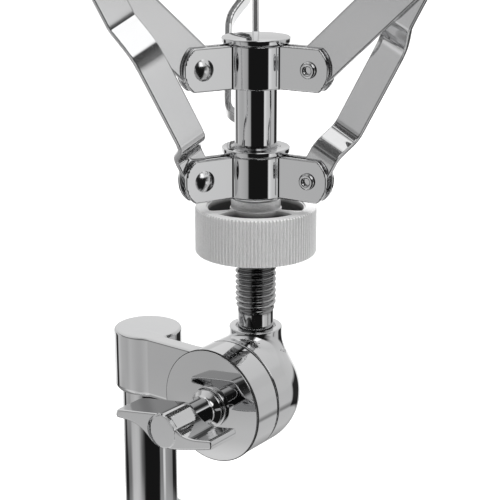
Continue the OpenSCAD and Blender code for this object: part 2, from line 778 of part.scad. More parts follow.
// What is cut from one ear, seen from its side: the corners outside its round end, and the hole
module ear_cut() {
    end_x = basket_pivot_r + ear_tip - ear_end_r;
    plate_xz(4 * plate_t) {
        difference() {
            translate([end_x, -ear_end_r]) square([2 * ear_end_r, 2 * ear_end_r]);
            translate([end_x, 0]) circle(r = ear_end_r);
        }
        translate([basket_pivot_r, 0]) circle(d = pivot_d + 2 * fixed_gap);
    }
}

// Sheet plate from the left side of arm n, round the hub, to the right side of the next arm
module bracket_plate(n) {
    wedge = 3 * plate_r;
    ear_x = sqrt(plate_r * plate_r - pow(ear_in + plate_t, 2)) - 1;
    ear_len = basket_pivot_r + ear_tip - ear_x;
    on_arm(n) difference() {
        translate([0, 0, -ear_height_half]) linear_extrude(plate_h) {
            difference() {
                intersection() {
                    circle(r = plate_r);
                    polygon([[0, 0], [wedge, 0], [wedge * cos(60), wedge * sin(60)],
                        [wedge * cos(120), wedge * sin(120)]]);
                }
                circle(r = plate_r - plate_t);
                translate([0, -ear_in]) square([wedge, 2 * ear_in]);
                rotate(120) translate([0, -ear_in]) square([wedge, 2 * ear_in]);
            }
            translate([ear_x, ear_in]) square([ear_len, plate_t]);
            rotate(120) translate([ear_x, -ear_in - plate_t]) square([ear_len, plate_t]);
        }
        translate([0, ear_in + plate_t / 2, 0]) ear_cut();
        rotate([0, 0, 120]) translate([0, -ear_in - plate_t / 2, 0]) ear_cut();
    }
}

module upper_bracket(n) {
    color(chrome) bracket_plate(n);
}

module lower_bracket(n) {
    color(chrome) translate([0, 0, -lower_drop]) bracket_plate(n);
}

// Three pivot rivets: a dome on each arm's left, a rolled hollow end on its right
module pivot_rivets() {
    grip = 2 * (ear_in + plate_t);
    rolled_r = 3.75;
    rolled_h = 1;
    hollow_r = 1.8;
    edge = 0.5;
    for (n = [1:3])
        on_arm(n) translate([basket_pivot_r, 0, 0]) {
            pin_y(pivot_d, grip);
            translate([0, grip / 2, 0]) rotate([-90, 0, 0]) dome(dome_d, 3);
            translate([0, -grip / 2, 0]) rotate([90, 0, 0]) rotate_extrude()
                polygon([[0, 0], [rolled_r, 0], [rolled_r, rolled_h - edge],
                    [rolled_r - edge, rolled_h], [hollow_r + edge, rolled_h],
                    [hollow_r, rolled_h - edge], [hollow_r, 0.2], [0, 0.2]]);
        }
}

module upper_pivot_rivets() {
    color(chrome) pivot_rivets();
}

module lower_pivot_rivets() {
    color(chrome) translate([0, 0, -lower_drop]) pivot_rivets();
}

// Knurled hand nut with three pockets and a central sleeve
module basket_nut() {
    crest_r = nut_d / 2;
    step = 360 / nut_ribs;
    bore_r = stem_d / 2 + running_gap;
    color(satin) on_basket() difference() {
        union() {
            translate([0, 0, nut_top - nut_h]) linear_extrude(nut_h)
                polygon([for (k = [0:nut_ribs - 1], e = [0:2])
                    (e == 2 ? crest_r - knurl_deep : crest_r)
                    * [cos((k + [0, 0.4, 0.7][e]) * step), sin((k + [0, 0.4, 0.7][e]) * step)]]);
            translate([0, 0, nut_top - overcut])
                cylinder(r = nut_sleeve_r, h = nut_sleeve_top - nut_top + overcut);
        }
        translate([0, 0, nut_top - 2 * nut_h]) cylinder(r = bore_r, h = 3 * nut_h);
        for (k = [0:2])
            rotate([0, 0, basket_turn + 60 + 120 * k]) translate([0, 0, nut_top - pocket_deep])
                linear_extrude(pocket_deep + overcut) pocket_outline(crest_r - 6, nut_sleeve_r + 1.3);
    }
}

// Kidney-shaped pocket between two spokes, centred on +X
module pocket_outline(out_r, in_r) {
    mid_r = (out_r + in_r) / 2;
    end_r = (out_r - in_r) / 2 - 0.3;
    half = 27;
    intersection() {
        difference() {
            circle(r = out_r);
            circle(r = in_r);
        }
        polygon([[0, 0], [2 * out_r * cos(half), -2 * out_r * sin(half)],
            [2 * out_r * cos(half), 2 * out_r * sin(half)]]);
    }
    for (side = [-1, 1])
        rotate(side * half) translate([mid_r, 0]) circle(r = end_r);
}

// Flat arm with a pivot hole, a hole for the strut rivet and one under the grip
module basket_arm(n) {
    color(chrome) on_arm(n) translate([basket_pivot_r, 0, 0]) rotate([0, -arm_angle, 0])
        plate_xz(arm_t) difference() {
            union() {
                circle(d = arm_w);
                translate([0, -arm_w / 2]) square([arm_len, arm_w]);
            }
            circle(d = pivot_d + 2 * running_gap);
            translate([strut_on_arm, 0]) circle(d = strut_pin_d + 2 * fixed_gap);
            translate([arm_len - grip_len / 2, 0]) circle(d = 4);
        }
}

// Centre line of a strut seen from above: in the bracket's slot, out to its own plane, back to
// the arm's side
function strut_path() = [[-strut_w, 0], [17.5, 0], [23.5, strut_offset], [68.5, strut_offset],
    [80.5, strut_side], [strut_len + strut_w, strut_side]];

// Direction of the path's piece that starts at point k
function heading(path, k) =
    atan2(path[k + 1][1] - path[k][1], path[k + 1][0] - path[k][0]);

// Point k of the path, moved sideways by off, with mitred corners
function beside(path, k, off) =
    let (before = heading(path, max(k - 1, 0)),
        after = heading(path, min(k, len(path) - 2)),
        middle = (before + after) / 2)
    path[k] + off / cos((after - before) / 2) * [-sin(middle), cos(middle)];

module strut(n) {
    path = strut_path();
    last = len(path) - 1;
    color(chrome) on_arm(n) translate([basket_pivot_r, 0, -lower_drop])
        rotate([0, -strut_angle, 0]) intersection() {
            translate([0, 0, -strut_w / 2]) linear_extrude(strut_w)
                polygon(concat([for (k = [0:last]) beside(path, k, strut_t / 2)],
                    [for (k = [last:-1:0]) beside(path, k, -strut_t / 2)]));
            plate_xz(6 * strut_offset) difference() {
                bar_outline(strut_len, strut_w);
                circle(d = pivot_d + 2 * open_play);
                translate([strut_len, 0]) circle(d = strut_pin_d + 2 * running_gap);
            }
        }
}

// Rivet through an arm and its strut
module strut_rivet(n) {
    low = -arm_t / 2;
    high = strut_side + strut_t / 2 + side_gap;
    color(chrome) on_arm(n) translate([basket_pivot_r, 0, 0]) rotate([0, -arm_angle, 0])
        translate([strut_on_arm, (low + high) / 2, 0])
            rivet_y(strut_pin_d, high - low, dome_d, 2.4);
}

// Rubber grip over an arm's end, with a hook that the drum's hoop drops behind
module grip(n) {
    half_z = arm_w / 2 + 3;
    hook_x = arm_len - 9;
    notch_x = hook_x - grip_notch;
    color(rubber) on_arm(n) translate([basket_pivot_r, 0, 0]) rotate([0, -arm_angle, 0])
        difference() {
            plate_xz(grip_w) polygon([[arm_len - grip_len, -half_z + 2], [arm_len - grip_len + 2, -half_z],
                [arm_len + 1, -half_z], [arm_len + 4, -half_z + 3], [arm_len + 4, half_z],
                [arm_len - 6, grip_hook - 2], [arm_len - 9, grip_hook],
                [arm_len - 17, grip_hook], [arm_len - 18, grip_hook - 2],
                [hook_x - 2, half_z + 4], [hook_x - 5, half_z], [notch_x - 5, half_z],
                [notch_x - 9, half_z + 5], [notch_x - 13, half_z + 5],
                [arm_len - grip_len, half_z - 1]]);
            plate_xz(arm_t + 2 * fixed_gap)
                translate([arm_len - grip_len - overcut, -arm_w / 2 - fixed_gap])
                    square([grip_len + overcut + fixed_gap, arm_w + 2 * fixed_gap]);
        }
}

base_tube();
base_plug();
spreader_bracket();
spreader_rivets();
leg_collar();
collar_rivets();
collar_wing_bolt();
stay(1);  // stay_1
stay(2);  // stay_2
stay(3);  // stay_3
leg_strip(1, 1);  // leg_1_left
leg_strip(1, -1);  // leg_1_right
leg_strip(2, 1);  // leg_2_left
leg_strip(2, -1);  // leg_2_right
leg_strip(3, 1);  // leg_3_left
leg_strip(3, -1);  // leg_3_right
leg_rivets(1);  // leg_rivets_1
leg_rivets(2);  // leg_rivets_2
leg_rivets(3);  // leg_rivets_3
foot(1);  // foot_1
foot(2);  // foot_2
foot(3);  // foot_3
height_clamp();
clamp_bush();
clamp_bolt();
clamp_wing_nut();
height_tube();
tilter_body();
tilter_bolt();
friction_washer();
pressure_washer();
tilter_wing_nut();
tilter_head();
socket_screw();
threaded_stem();
post_tube();
upper_hub();
upper_bracket(1);  // upper_bracket_1
upper_bracket(2);  // upper_bracket_2
upper_bracket(3);  // upper_bracket_3
upper_pivot_rivets();
lower_hub();
lower_bracket(1);  // lower_bracket_1
lower_bracket(2);  // lower_bracket_2
lower_bracket(3);  // lower_bracket_3
lower_pivot_rivets();
basket_nut();
basket_arm(1);  // arm_1
basket_arm(2);  // arm_2
basket_arm(3);  // arm_3
strut(1);  // strut_1
strut(2);  // strut_2
strut(3);  // strut_3
strut_rivet(1);  // strut_rivet_1
strut_rivet(2);  // strut_rivet_2
strut_rivet(3);  // strut_rivet_3
grip(1);  // grip_1
grip(2);  // grip_2
grip(3);  // grip_3
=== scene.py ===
import json
import math

import bpy
import numpy as np
from mathutils import Matrix, Vector
from mathutils.geometry import tessellate_polygon


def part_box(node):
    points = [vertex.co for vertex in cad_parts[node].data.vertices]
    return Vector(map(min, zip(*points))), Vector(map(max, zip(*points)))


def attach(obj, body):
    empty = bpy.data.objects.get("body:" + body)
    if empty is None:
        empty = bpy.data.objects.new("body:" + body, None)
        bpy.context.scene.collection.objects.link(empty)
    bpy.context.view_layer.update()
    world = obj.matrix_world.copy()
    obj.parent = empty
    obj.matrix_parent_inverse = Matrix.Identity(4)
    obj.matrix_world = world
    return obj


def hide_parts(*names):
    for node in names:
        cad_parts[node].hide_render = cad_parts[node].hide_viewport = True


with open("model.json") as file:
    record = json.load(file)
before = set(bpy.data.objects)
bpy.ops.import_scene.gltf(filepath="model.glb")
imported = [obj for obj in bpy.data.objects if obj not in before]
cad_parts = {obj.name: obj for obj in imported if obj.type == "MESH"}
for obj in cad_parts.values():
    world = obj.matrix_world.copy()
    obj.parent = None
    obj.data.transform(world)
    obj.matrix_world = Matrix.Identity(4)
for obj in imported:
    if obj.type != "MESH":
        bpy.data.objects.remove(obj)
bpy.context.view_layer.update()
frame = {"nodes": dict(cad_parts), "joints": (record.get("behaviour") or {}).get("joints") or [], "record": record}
nodes = frame["nodes"]
joints = {j["name"]: j for j in frame["joints"]}
mm = 0.001


def say(words):
    print("scene:", words)


def middle(node):
    low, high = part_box(node)
    return (low + high) / 2


# Places that the frame gives
postAxis = middle("post_tube")
upperZ = middle("upper_bracket_1").z
lowerZ = middle("lower_bracket_1").z
upperCentre = Vector((postAxis.x, postAxis.y, upperZ))

# The photograph's camera, worked out from the edges of the hubs, the nut, the discs and the tube
photoView = {
    "turn": math.radians(36.533),
    "elevation": math.radians(16.732),
    "distance": 623.87 * mm,
    "aim": Vector((-2.608 * mm, 0, -85.004 * mm)),
    "focalShare": 1369.8 / 500,
    "sensor": 36,
}


def makeCamera():
    turn = Matrix.Rotation(photoView["turn"], 3, "Z")
    elevation = photoView["elevation"]
    look = turn @ Vector((0, math.cos(elevation), -math.sin(elevation)))
    camera = bpy.data.objects.new("photoCamera", bpy.data.cameras.new("photoCamera"))
    camera.data.sensor_width = photoView["sensor"]
    camera.data.lens = photoView["focalShare"] * photoView["sensor"]
    camera.data.clip_start = 0.05
    camera.data.clip_end = 50
    camera.location = upperCentre + turn @ photoView["aim"] - photoView["distance"] * look
    camera.rotation_mode = "QUATERNION"
    camera.rotation_quaternion = look.to_track_quat("-Z", "Y")
    bpy.context.scene.collection.objects.link(camera)
    bpy.context.scene.camera = camera


# The studio: what chrome sees round itself, as brightness by azimuth in degrees, 0 towards the
# photographer and positive to the right. The rings are stacked from the floor up to the zenith
studioRings = {
    "floor": [
        (-180, 0.25), (-150, 0.3), (-115, 0.3), (-97, 0.5), (-78, 0.95), (-60, 0.9), (-30, 0.5),
        (-23, 0.012), (40, 0.012), (46, 0.5), (60, 0.5), (100, 0.7), (140, 0.7), (180, 0.25),
    ],
    "low": [
        (-180, 0.6), (-144, 0.6), (-140, 0.02), (-114, 0.02), (-109, 0.2), (-92, 0.25),
        (-80, 0.7), (-60, 0.75), (-48, 0.7), (-34, 0.2), (-21, 0.05), (-18, 0.012), (44, 0.012),
        (47, 0.3), (59, 0.3), (63, 1.0), (69, 1.0), (74, 0.45), (112, 0.3), (117, 0.02),
        (151, 0.02), (155, 0.6), (180, 0.6),
    ],
    "level": [
        (-180, 1.1), (-136, 1.1), (-133, 0.03), (-121, 0.03), (-115, 0.8), (-100, 0.62),
        (-73, 0.56), (-60, 0.66), (-45, 0.6), (-30, 0.5), (-25, 0.012), (43, 0.012), (47, 1.1),
        (60, 0.84), (80, 0.72), (86, 0.2), (91, 0.66), (108, 0.72), (114, 0.65), (119, 0.03),
        (147, 0.03), (153, 1.1), (180, 1.1),
    ],
    "near": [
        (-180, 0.75), (-130, 0.8), (-100, 0.8), (-90, 0.5), (-58, 0.45), (-40, 0.35),
        (-25, 0.012), (43, 0.012), (60, 0.35), (75, 0.7), (110, 0.75), (150, 0.8), (180, 0.75),
    ],
    "band": [
        (-180, 0.95), (-140, 0.9), (-115, 0.6), (-95, 0.12), (-60, 0.1), (-25, 0.012),
        (43, 0.012), (58, 0.05), (75, 0.5), (100, 0.7), (150, 0.85), (180, 0.95),
    ],
    "high": [
        (-180, 0.95), (-120, 0.9), (-90, 0.85), (-45, 0.6), (-28, 0.08), (-6, 0.03), (2, 0.4),
        (8, 1.7), (34, 1.7), (40, 0.9), (60, 0.9), (110, 0.8), (180, 0.95),
    ],
    "top": [
        (-180, 1.3), (-110, 1.2), (-60, 0.3), (-30, 0.07), (30, 0.07), (50, 0.5), (75, 1.4),
        (180, 1.3),
    ],
}
# Where each ring takes over from the one below it, as sines of the angle above the horizon
studioHeights = {"low": (-0.5, -0.46), "level": (-0.44, -0.37), "near": (-0.12, -0.02),
                 "band": (0.2, 0.27), "high": (0.42, 0.5), "top": (0.86, 0.93)}
studioGain = 2.0


def addNode(tree, kind, inputs=None, **settings):
    node = tree.nodes.new(kind)
    for key, value in settings.items():
        setattr(node, key, value)
    for key, value in (inputs or {}).items():
        if isinstance(value, bpy.types.NodeSocket):
            tree.links.new(value, node.inputs[key])
        else:
            node.inputs[key].default_value = value
    return node


def ramp(tree, source, stops):
    node = addNode(tree, "ShaderNodeValToRGB", {0: source})
    elements = node.color_ramp.elements
    elements.remove(elements[1])
    for number, (place, value) in enumerate(stops):
        element = elements.new(place) if number else elements[0]
        element.position = place
        element.color = (*value, 1) if hasattr(value, "__len__") else (value, value, value, 1)
    return node.outputs[0]


def math2(tree, operation, a, b=0.0):
    return addNode(tree, "ShaderNodeMath", {0: a, 1: b}, operation=operation).outputs[0]


def mapRange(tree, value, fromLow, fromHigh, toLow, toHigh):
    sockets = {0: value, 1: fromLow, 2: fromHigh, 3: toLow, 4: toHigh}
    return addNode(tree, "ShaderNodeMapRange", sockets).outputs[0]


def makeWorld():
    world = bpy.data.worlds.new("studio")
    bpy.context.scene.world = world
    world.use_nodes = True
    tree = world.node_tree
    tree.nodes.clear()
    direction = addNode(tree, "ShaderNodeTexCoord").outputs["Generated"]
    turned = addNode(tree, "ShaderNodeVectorRotate", {"Vector": direction, "Angle": -photoView["turn"]},
                     rotation_type="Z_AXIS").outputs[0]
    parts = addNode(tree, "ShaderNodeSeparateXYZ", {0: turned}).outputs
    toward = math2(tree, "MULTIPLY", parts[1], -1.0)
    around = mapRange(tree, math2(tree, "ARCTAN2", parts[0], toward), -math.pi, math.pi, 0.0, 1.0)
    height = mapRange(tree, parts[2], -1.0, 1.0, 0.0, 1.0)
    rings = {name: ramp(tree, around, [((a + 180) / 360, v / studioGain) for a, v in stops])
             for name, stops in studioRings.items()}
    seen = rings["floor"]
    for name, (low, high) in studioHeights.items():
        share = ramp(tree, height, [((low + 1) / 2, 0), ((high + 1) / 2, 1)])
        seen = addNode(tree, "ShaderNodeMix", {0: share, 6: seen, 7: rings[name]},
                       data_type="RGBA").outputs[2]
    studio = addNode(tree, "ShaderNodeBackground", {"Color": seen, "Strength": studioGain}).outputs[0]
    white = addNode(tree, "ShaderNodeBackground", {"Color": (1, 1, 1, 1), "Strength": 1.0}).outputs[0]
    isCamera = addNode(tree, "ShaderNodeLightPath").outputs["Is Camera Ray"]
    mixed = addNode(tree, "ShaderNodeMixShader", {0: isCamera, 1: studio, 2: white}).outputs[0]
    addNode(tree, "ShaderNodeOutputWorld", {"Surface": mixed})


floorLook = {"size": 12.0, "tone": 0.9, "rough": 0.9}


def makeFloor():
    look = floorLook
    size = look["size"]
    mesh = bpy.data.meshes.new("floor")
    corners = [(-size, -size, 0), (size, -size, 0), (size, size, 0), (-size, size, 0)]
    mesh.from_pydata(corners, [], [(0, 1, 2, 3)])
    floor = bpy.data.objects.new("floor", mesh)
    bpy.context.scene.collection.objects.link(floor)
    material, _, shader = newMaterial("paleFloor")
    shader.inputs["Base Color"].default_value = (look["tone"], look["tone"], look["tone"], 1)
    shader.inputs["Roughness"].default_value = look["rough"]
    shader.inputs["Specular IOR Level"].default_value = 0
    mesh.materials.append(material)
    floor.visible_glossy = False


lampLook = {"energy": 2.6, "spread": 50, "tilt": (-14, 16)}  # angles in degrees


def makeLights():
    look = lampLook
    sun = bpy.data.objects.new("softSun", bpy.data.lights.new("softSun", "SUN"))
    sun.data.energy = look["energy"]
    sun.data.angle = math.radians(look["spread"])
    sun.rotation_euler = (*map(math.radians, look["tilt"]), 0)
    bpy.context.scene.collection.objects.link(sun)
    sun.visible_glossy = False


# Materials
def newMaterial(name):
    material = bpy.data.materials.new(name)
    material.use_nodes = True
    return material, material.node_tree, material.node_tree.nodes["Principled BSDF"]


def objectPlace(tree):
    return addNode(tree, "ShaderNodeTexCoord").outputs["Object"]


def noise(tree, place, scale, detail):
    return addNode(tree, "ShaderNodeTexNoise", {"Vector": place, "Scale": scale, "Detail": detail}).outputs[0]


def aroundPost(tree):
    centred = addNode(tree, "ShaderNodeVectorMath", {0: objectPlace(tree), 1: (-postAxis.x, -postAxis.y, 0)})
    flat = addNode(tree, "ShaderNodeVectorMath", {0: centred.outputs[0], 1: (1, 1, 0)}, operation="MULTIPLY")
    across = addNode(tree, "ShaderNodeVectorMath", {0: flat.outputs[0]}, operation="LENGTH").outputs["Value"]
    return across, addNode(tree, "ShaderNodeSeparateXYZ", {0: centred.outputs[0]}).outputs[2]


def dress(tree, tone, roughness, height, strength, depth, softEdge, samples):
    shader = tree.nodes["Principled BSDF"]
    tree.links.new(tone, shader.inputs["Base Color"])
    tree.links.new(roughness, shader.inputs["Roughness"])
    bump = addNode(tree, "ShaderNodeBump", {"Height": height, "Strength": strength, "Distance": depth})
    if softEdge:
        edge = addNode(tree, "ShaderNodeBevel", {"Radius": softEdge}, samples=samples).outputs[0]
        tree.links.new(edge, bump.inputs["Normal"])
    tree.links.new(bump.outputs[0], shader.inputs["Normal"])


# Plated steel: a faint haze in tone and gloss, and long shallow waves in the surface
chromeLook = {"hazeScale": 45.0, "hazeTint": (0.97, 0.975, 0.985), "clearTint": (1, 1, 1.005),
              "hazeRough": 1.8, "waveScale": 90.0, "waveStrength": 0.05, "waveDepth": 0.0001}


def chrome(name, level=0.63, rough=0.03, softEdge=0.0, stretch=(1, 1, 1), metal=1.0):
    look = chromeLook
    material, tree, shader = newMaterial(name)
    shader.inputs["Metallic"].default_value = metal
    place = objectPlace(tree)
    haze = noise(tree, place, look["hazeScale"], 4.0)
    hazy, clear = [tuple(level * tint for tint in look[key]) for key in ("hazeTint", "clearTint")]
    tone = ramp(tree, haze, [(0.3, hazy), (0.7, clear)])
    roughness = mapRange(tree, haze, 0.3, 0.75, rough, rough * look["hazeRough"])
    stretched = addNode(tree, "ShaderNodeMapping", {"Vector": place, "Scale": stretch}).outputs[0]
    waves = noise(tree, stretched, look["waveScale"], 2.0)
    dress(tree, tone, roughness, waves, look["waveStrength"], look["waveDepth"], softEdge, 4)
    return material


# Painted shade: the base colour is darkened at the top of the thread, where the nut keeps the light off, and in
# the grooves against the crests.
# Metres below the lower pivots, and metres from the post's axis
threadShade = {"low": 0.066, "high": 0.04, "topLevel": 0.5, "neckHigh": 0.003,
               "rootR": 0.0083, "crestR": 0.009, "rootLevel": 0.45}


def paintThreadShade(material):
    look = threadShade
    tree = material.node_tree
    colour = tree.nodes["Principled BSDF"].inputs["Base Color"]
    across, height = aroundPost(tree)
    low, high = lowerZ - look["low"], lowerZ - look["high"]
    upper = mapRange(tree, height, low, high, 1.0, look["topLevel"])
    root = mapRange(tree, across, look["rootR"], look["crestR"], look["rootLevel"], 1.0)
    neck = mapRange(tree, height, low, low + look["neckHigh"], 1.0, 0.0)
    share = math2(tree, "MULTIPLY", upper, math2(tree, "MAXIMUM", root, neck))
    # Painted shade multiplied into the base colour
    tone = addNode(tree, "ShaderNodeVectorMath", {0: colour.links[0].from_socket, 1: share},
                   operation="MULTIPLY")
    tree.links.new(tone.outputs[0], colour)


satinLook = {"grainScale": 1500.0, "tones": (0.76, 0.84), "rough": (0.42, 0.52), "metal": 0.45,
             "grainStrength": 0.1, "grainDepth": 0.0001}


def satin(name):
    look = satinLook
    material, tree, shader = newMaterial(name)
    shader.inputs["Metallic"].default_value = look["metal"]
    grain = noise(tree, objectPlace(tree), look["grainScale"], 3.0)
    tone = ramp(tree, grain, [(0.3, look["tones"][0]), (0.7, look["tones"][1])])
    roughness = mapRange(tree, grain, 0.3, 0.7, *look["rough"])
    dress(tree, tone, roughness, grain, look["grainStrength"], look["grainDepth"], 0.0, 0)
    return material


# On the nut the turned sleeve is glossier; painted shade darkens the pockets and the sleeve below the floor, and
# painted light brightens the flat top and the sleeve. Radii and
# depths are in metres: rimDrop from the lower pivots, deep from the pockets' rim
nutLook = {"sleeveR": 0.0114, "sleeveSoft": 0.0003, "sleeveRough": 0.3, "sleeveMetal": 0.4,
           "rimDrop": 0.0158, "deep": (0.0025, 0.0003), "wallR": (0.0226, 0.023), "pocketDark": 0.85,
           "boreDark": 0.3, "topMetal": 0.35, "lift": 0.16}


def shadeNut(material):
    look = nutLook
    tree = material.node_tree
    shader = tree.nodes["Principled BSDF"]
    tone, roughness = [shader.inputs[key].links[0].from_socket for key in ("Base Color", "Roughness")]
    across, height = aroundPost(tree)
    sleeve = mapRange(tree, across, look["sleeveR"], look["sleeveR"] + look["sleeveSoft"], 1.0, 0.0)
    facing = addNode(tree, "ShaderNodeTexCoord").outputs["Normal"]
    upward = addNode(tree, "ShaderNodeSeparateXYZ", {0: facing}).outputs[2]
    topFace = mapRange(tree, upward, 0.4, 0.6, 0.0, 1.0)
    plain = math2(tree, "SUBTRACT", satinLook["metal"], math2(tree, "MULTIPLY", topFace, look["topMetal"]))
    tree.links.new(mapRange(tree, sleeve, 0, 1, roughness, look["sleeveRough"]), shader.inputs["Roughness"])
    tree.links.new(mapRange(tree, sleeve, 0, 1, plain, look["sleeveMetal"]), shader.inputs["Metallic"])
    rimZ = lowerZ - look["rimDrop"]
    # Painted shade: the base colour darkens with depth, strongly on the pocket walls and less on the sleeve
    deep = mapRange(tree, height, rimZ - look["deep"][0], rimZ - look["deep"][1], 1.0, 0.0)
    inside = mapRange(tree, across, *look["wallR"], look["pocketDark"], 0.0)
    paintedShadeShare = addNode(tree, "ShaderNodeMix", {0: sleeve, 2: inside, 3: look["boreDark"]}).outputs[0]
    shade = math2(tree, "SUBTRACT", 1.0, math2(tree, "MULTIPLY", deep, paintedShadeShare))
    # Painted light: the flat top and the sleeve are brightened
    paintedLights = [math2(tree, "MULTIPLY", place, look["lift"]) for place in (topFace, sleeve)]
    shade = math2(tree, "ADD", shade, math2(tree, "MAXIMUM", *paintedLights))
    tone = addNode(tree, "ShaderNodeVectorMath", {0: tone, 1: shade}, operation="MULTIPLY").outputs[0]
    tree.links.new(tone, shader.inputs["Base Color"])


plasticLook = {"dim": 0.85, "bright": 1.2, "worn": 1.25, "grainStrength": 0.2, "grainDepth": 0.0002}


def darkPlastic(name, level, rough, scale, softEdge=0.0):
    look = plasticLook
    material, tree, _ = newMaterial(name)
    grain = noise(tree, objectPlace(tree), scale, 5.0)
    tone = ramp(tree, grain, [(0.3, level * look["dim"]), (0.7, level * look["bright"])])
    roughness = mapRange(tree, grain, 0.3, 0.7, rough, rough * look["worn"])
    dress(tree, tone, roughness, grain, look["grainStrength"], look["grainDepth"], softEdge, 6)
    return material


# Shapes are distance functions, in millimetres, in each piece's own frame: negative inside
farAway = 99  # beyond any piece


def blendMin(a, b, blend):
    share = np.clip(0.5 + 0.5 * (b - a) / blend, 0, 1)
    return b + (a - b) * share - blend * share * (1 - share)


def blendMax(a, b, blend):
    return -blendMin(-a, -b, blend)


def softCorner(a, b, radius):
    a, b = a + radius, b + radius
    return np.minimum(np.maximum(a, b), 0) + np.hypot(np.maximum(a, 0), np.maximum(b, 0)) - radius


def slab(value, low, high):
    return np.abs(value - (low + high) / 2) - (high - low) / 2


def rod(along, across, low, high, radius, edge):
    return softCorner(slab(along, low, high), across - radius, edge)


def stadium(x, z, length, half):
    return np.hypot(x - np.clip(x, 0, length), z) - half


def insideOutline(x, z, outline):
    corners = np.array(outline, float)
    nearest = np.full(np.shape(x), 1e9)
    sign = np.ones(np.shape(x))
    for (ax, az), (bx, bz) in zip(corners, np.roll(corners, -1, axis=0)):
        ex, ez = bx - ax, bz - az
        wx, wz = x - ax, z - az
        share = np.clip((wx * ex + wz * ez) / (ex * ex + ez * ez), 0, 1)
        nearest = np.minimum(nearest, np.hypot(wx - ex * share, wz - ez * share))
        above, below, left = z >= az, z < bz, ex * wz > ez * wx
        crossing = (above & below & left) | (~above & ~below & ~left)
        sign = np.where(crossing, -sign, sign)
    return nearest * sign


# A surface net: one point for each grid cell that the surface crosses, one face for each grid edge
def netOf(shape, low, high, step):
    axes = [np.arange(a - 1.5 * step, b + 1.6 * step, step) for a, b in zip(low, high)]
    inside = shape(*np.meshgrid(*axes, indexing="ij")) < 0
    corners = sum(inside[i:i - 1 or None, j:j - 1 or None, k:k - 1 or None].astype(int)
                  for i in (0, 1) for j in (0, 1) for k in (0, 1))
    mixed = (corners > 0) & (corners < 8)
    index = np.full(mixed.shape, -1)
    index[mixed] = np.arange(mixed.sum())
    points = np.argwhere(mixed) * step + [a[0] + step / 2 for a in axes]
    faces = []
    for axis in range(3):
        solid = np.moveaxis(inside, axis, 0)
        cells = np.moveaxis(index, axis, 0)
        if axis == 1:
            solid, cells = solid.swapaxes(1, 2), cells.swapaxes(1, 2)
        here, there = solid[:-1, 1:-1, 1:-1], solid[1:, 1:-1, 1:-1]
        ring = np.stack([cells[:, :-1, :-1], cells[:, 1:, :-1], cells[:, 1:, 1:], cells[:, :-1, 1:]], -1)
        faces.append(ring[here & ~there])
        faces.append(ring[there & ~here][:, ::-1])
    return points, np.concatenate(faces)


def slope(shape, points, reach=0.02):
    steps = np.eye(3) * reach
    return np.stack([(shape(*(points + s).T) - shape(*(points - s).T)) / (2 * reach) for s in steps], -1)


# Newton steps that carry the points onto the surface
def settle(shape, points, limit, rounds=5):
    for _ in range(rounds):
        steep = slope(shape, points)
        move = shape(*points.T)[:, None] * steep / np.maximum((steep ** 2).sum(-1), 1e-3)[:, None]
        length = np.linalg.norm(move, axis=1, keepdims=True)
        points = points - move * np.minimum(1, limit / np.maximum(length, 1e-9))
    return points


def addMesh(name, points, faces, material, normals=None, place=None):
    place = place or Matrix.Identity(4)
    turn = np.array(place.to_3x3())
    points = np.asarray(points, float) * mm @ turn.T + np.array(place.translation)
    mesh = bpy.data.meshes.new(name)
    mesh.from_pydata(points.tolist(), [], [list(map(int, f)) for f in faces])
    mesh.materials.append(material)
    mesh.shade_smooth()
    if normals is not None:
        mesh.normals_split_custom_set_from_vertices((np.asarray(normals) @ turn.T).tolist())
    made = bpy.data.objects.new(name, mesh)
    bpy.context.scene.collection.objects.link(made)
    return made


def castPiece(name, shape, low, high, step, material, place):
    points, faces = netOf(shape, low, high, step)
    points = settle(shape, points, step)
    for _ in range(2):
        total, count = np.zeros_like(points), np.zeros(len(points))
        for a in range(4):
            for b in (a - 1, a + 1):
                np.add.at(total, faces[:, a], points[faces[:, b % 4]])
                np.add.at(count, faces[:, a], 1)
        points = settle(shape, (points + total / np.maximum(count, 1)[:, None]) / 2, step, 3)
    steep = slope(shape, points)
    normals = steep / np.maximum(np.linalg.norm(steep, axis=1, keepdims=True), 1e-9)
    made = addMesh(name, points, faces, material, normals, place)
    say(f"{name} {len(faces)} faces")
    return made


# Round pieces: a profile of (radius, height, rounding) corners, turned about +Z
def softProfile(corners, steps=5):
    line = []
    for i, corner in enumerate(corners):
        point = np.array(corner[:2], float)
        rounding = corner[2] if len(corner) > 2 else 0
        if not rounding:
            line.append(point)
            continue
        before = np.array(corners[i - 1][:2], float) - point
        after = np.array(corners[i + 1][:2], float) - point
        u, v = before / np.linalg.norm(before), after / np.linalg.norm(after)
        half = math.acos(max(-1, min(1, float(u @ v)))) / 2
        reach = rounding / math.tan(half)
        centre = point + (u + v) / np.linalg.norm(u + v) * rounding / math.sin(half)
        start, end = point + u * reach - centre, point + v * reach - centre
        for k in range(steps + 1):
            spoke = start + (end - start) * k / steps
            line.append(centre + spoke / np.linalg.norm(spoke) * rounding)
    return np.array(line)


def circleRows(line, sides):
    angles = np.linspace(0, 2 * math.pi, sides, endpoint=False)
    return [np.stack([r * np.cos(angles), r * np.sin(angles), np.full(sides, h)], -1) for r, h in line]


def addRows(points, faces, rows):
    sides = len(rows[0])
    first = len(points)
    for row in rows:
        points.extend(map(tuple, row))
    for r in range(len(rows) - 1):
        for k in range(sides):
            lower, upper = first + r * sides, first + (r + 1) * sides
            faces.append((lower + k, lower + (k + 1) % sides, upper + (k + 1) % sides, upper + k))


